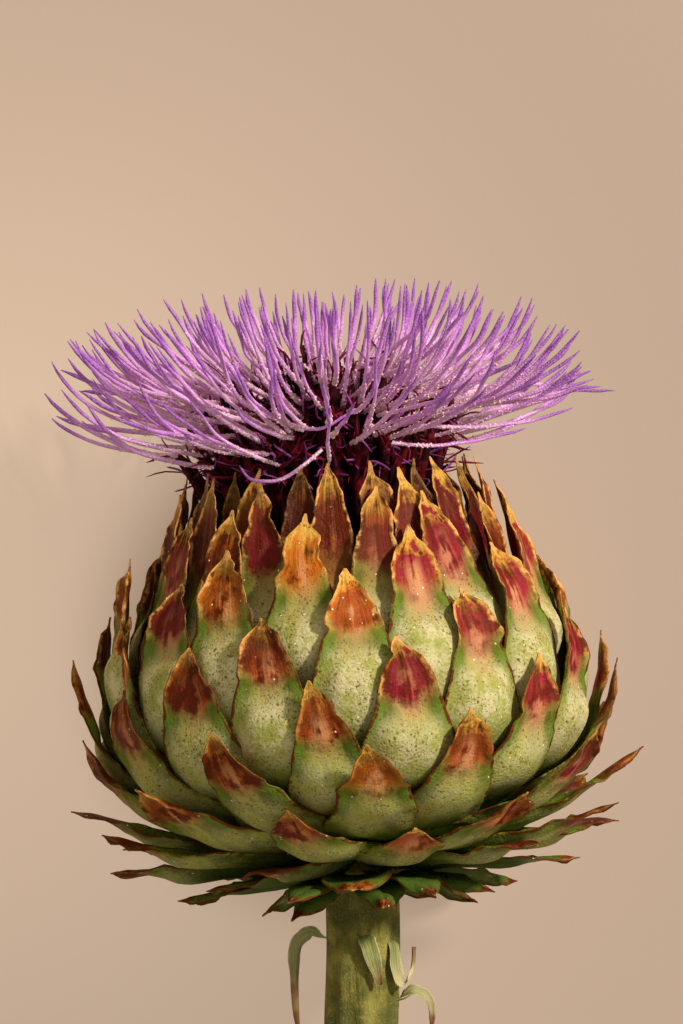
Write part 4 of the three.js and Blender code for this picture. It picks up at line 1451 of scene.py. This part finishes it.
strands = 0
for side, members in bundles.items():
    rng = np.random.default_rng(200 + len(side))
    turn = floret_turn[members] + rng.normal(0, 2, members.sum())
    tubes = tubes_of(turn, mouth[members])
    lobes = lobes_of(rng, turn, tubes)
    start, bend, end = (np.vstack(pair) for pair in zip(tubes, lobes))
    tint = np.concatenate([np.zeros(len(turn)), rng.uniform(0.25, 1, len(lobes[0]))])
    thick = np.where(tint > 0, rng.uniform(0.15, 0.27, len(tint)), rng.uniform(0.7, 1.4, len(tint)))
    source = strand_points(start, bend, end, thick, tint)
    mesh = grown(f"corollas_{side}", source, STRANDS, **COROLLA_SIZES)
    mesh_to_piece(f"corollas_{side}", mesh, f"florets_{side}")
    strands += len(tint)
print(strands, "tubes and lobes")

# %% [markdown]
# ## Pollen
#
# Crumbs of pale pollen stick to the lower part of the styles. A bump in the finish would show them
# as spots but not on the outline, so a second tree scatters real ones over the styles' own faces,
# many near the base and none at the tip, turned and sized at random.

# %% The pollen tree
FULL_TURN = 6.3  # a little more than once round, in radians


def pollen_tree():
    sizes = {"Density": "Float", "Smallest": "Float", "Largest": "Float"}
    t = Tree("scatter_pollen", {**sizes, "Seed": "Int", "Finish": "Material"})
    density = t.times(t.band(t.read("share"), 0.05, 0.75, 1.0, 0.0), t.given["Density"])
    inputs = {0: t.given["Geometry"], "Density": density, "Seed": t.given["Seed"]}
    spread = t.node("GeometryNodeDistributePointsOnFaces", inputs)
    crumb = t.node("GeometryNodeMeshIcoSphere", {"Radius": 1.0, "Subdivisions": 1})
    inputs = {0: crumb.outputs[0], "Offset": t.turbulence(None, 1.3)}
    crumb = t.node("GeometryNodeSetPosition", inputs)
    inputs = {2: t.given["Smallest"], 3: t.given["Largest"], "Seed": t.given["Seed"]}
    size = t.node("FunctionNodeRandomValue", inputs)
    inputs = {1: (FULL_TURN, FULL_TURN, FULL_TURN), "Seed": 5}
    turned = t.node("FunctionNodeRandomValue", inputs, data_type="FLOAT_VECTOR")
    inputs = {0: spread.outputs["Points"], "Instance": crumb.outputs[0], "Scale": size.outputs[1]}
    crumbs = t.node("GeometryNodeInstanceOnPoints", {**inputs, "Rotation": turned.outputs[0]})
    return t.finish(crumbs.outputs[0])


POLLEN = pollen_tree()
print("the pollen tree has", len(POLLEN.nodes), "nodes")

# %% Scatter the pollen
def pollen_finish():
    f = Finish("pollen_crumbs", Roughness=0.9, Specular_IOR_Level=0.2)
    return f.finished(f.blend(colour(240, 216, 204), colour(222, 184, 184), f.noise(900, 1)))


POLLEN_SIZES = {
    "Density": 1.6e6, "Smallest": 0.09 * MM, "Largest": 0.28 * MM, "Seed": 11,
    "Finish": pollen_finish(),
}
total = 0
for side, styles in style_mesh.items():
    mesh = grown(f"pollen_{side}", styles.copy(), POLLEN, **POLLEN_SIZES)
    total += len(mesh.polygons)
    mesh_to_piece(f"pollen_{side}", mesh, f"florets_{side}")
print(total, "faces in the pollen")

# %% [markdown]
# ## The table
#
# The table is plain and pale. Beside the head it is painted lighter: a painted pool of light, which
# also lightens the head's shadow there. Lit only by the lamp it would have a dark, hard shadow. To
# the camera it shows mostly its own colour and only part of the light that falls on it, so that the
# backdrop stays even and the shadow is soft. Right under the head all of the light counts, so that
# the head rests on the table and doesn't float.

# %% Table
TABLE_HALF_SIZE = 3.0  # metres
# the middle of the painted pool of light on the table, beside the head
PAINTED_LIGHT_MIDDLE = (-0.07, 0.03, 0)
UNDER_HEAD = (AXIS_X * MM, (STEM_TOP + 45) * MM, 0)
OWN_COLOUR_NEAR, OWN_COLOUR_FAR = 0.15, 0.76  # how much of its own colour the camera sees


def table_paint():
    f = Finish("table_paint", Roughness=0.9, Specular_IOR_Level=0.1)
    # A painted pool of light: the paint is lightest beside the head and darker further out.
    edge = f.band(f.away_from(PAINTED_LIGHT_MIDDLE), 0.0, 0.16)
    paint_and_painted_light = f.blend(colour(223, 195, 169), colour(192, 167, 146), edge)
    f.finished(paint_and_painted_light)
    path = f.node("ShaderNodeLightPath", {})
    rays = ("Is Camera Ray", "Is Glossy Ray", "Is Transmission Ray")
    seen = f.capped(f.plus(*(path.outputs[ray] for ray in rays)))
    flat = f.node("ShaderNodeEmission", {"Color": paint_and_painted_light, "Strength": 1.0})
    share = f.times(seen, f.band(f.away_from(UNDER_HEAD), 0.03, 0.06, OWN_COLOUR_NEAR, OWN_COLOUR_FAR))
    mixed = f.node("ShaderNodeMixShader", {0: share, 1: f.shader.outputs[0], 2: flat.outputs[0]})
    f.feed(f.tree.nodes["Material Output"].inputs["Surface"], mixed.outputs[0])
    return f.material


def table(half_size):
    mesh = bpy.data.meshes.new("table")
    corners = [(x * half_size, y * half_size, 0) for x, y in ((-1, -1), (1, -1), (1, 1), (-1, 1))]
    mesh.from_pydata(corners, [], [(0, 1, 2, 3)])
    mesh.materials.append(table_paint())
    top = bpy.data.objects.new("table", mesh)
    bpy.context.scene.collection.objects.link(top)


table(TABLE_HALF_SIZE)
print(f"the table is {2 * TABLE_HALF_SIZE:.0f} m wide")

# %% [markdown]
# ## The light
#
# Low warm sunlight from the upper right models the bracts. The sun itself would be a Sun lamp, but a
# small square lamp nearby gives the shadows the same slightly soft edge and can be aimed at the
# head. A pale sky fills the shadows.

# %% Light
TOWARD_LAMP = (0.72, 0.42, 0.68)
LAMP_DISTANCE, LAMP_SIZE = 2.4, 0.2  # metres
LAMP_POWER, LAMP_TINT = 68, (1.0, 0.93, 0.82)
SKY_STRENGTH, SKY_TINT = 0.5, (1, 0.92, 0.72)


def lamp(name, toward, distance, size, power, tint):
    """A square soft lamp that shines on the middle of the head from a direction."""
    data = bpy.data.lights.new(name, "AREA")
    data.size = size
    data.energy = power
    data.color = tint
    light = bpy.data.objects.new(name, data)
    middle = np.array([AXIS_X, STEM_TOP + 50, AXIS_Z]) * MM
    way = np.array(toward, float) / np.linalg.norm(toward)
    light.location = middle + way * distance
    light.rotation_euler = Vector(way).to_track_quat("Z", "Y").to_euler()
    bpy.context.scene.collection.objects.link(light)


def sky(strength, tint):
    world = bpy.data.worlds.new("sky")
    world.use_nodes = True
    background = world.node_tree.nodes["Background"]
    background.inputs["Color"].default_value = (*tint, 1)
    background.inputs["Strength"].default_value = strength
    bpy.context.scene.world = world


lamp("key", TOWARD_LAMP, LAMP_DISTANCE, LAMP_SIZE, LAMP_POWER, LAMP_TINT)
sky(SKY_STRENGTH, SKY_TINT)
bpy.context.scene.view_settings.view_transform = "Standard"
print(f"the lamp gives {LAMP_POWER} W from {LAMP_DISTANCE} m away")

# %% [markdown]
# ## The camera
#
# The camera looks straight down on the side that lies uppermost. It could stand close, but then the
# near bracts would look large and hide the ones behind them. From far away with a long lens the
# head keeps its proportions.

# %% Camera
FRAME_HEIGHT = 200.7  # how much the picture takes in from top to bottom, at the axis
CAMERA_HEIGHT = 4000
CAMERA_TILT = -4.2
CAMERA_ASIDE, CAMERA_ALONG = 1.4, 74.2  # from the axis, and from the stem's top

camera_data = bpy.data.cameras.new("camera")
camera_data.lens = camera_data.sensor_width * CAMERA_HEIGHT / FRAME_HEIGHT
camera = bpy.data.objects.new("camera", camera_data)
camera_place = [AXIS_X + CAMERA_ASIDE, STEM_TOP + CAMERA_ALONG, AXIS_Z + CAMERA_HEIGHT]
camera.location = np.array(camera_place) * MM
camera.rotation_euler = (0, 0, math.radians(CAMERA_TILT))
bpy.context.scene.collection.objects.link(camera)
bpy.context.scene.camera = camera
print(f"the camera has a {camera_data.lens:.0f} mm lens")
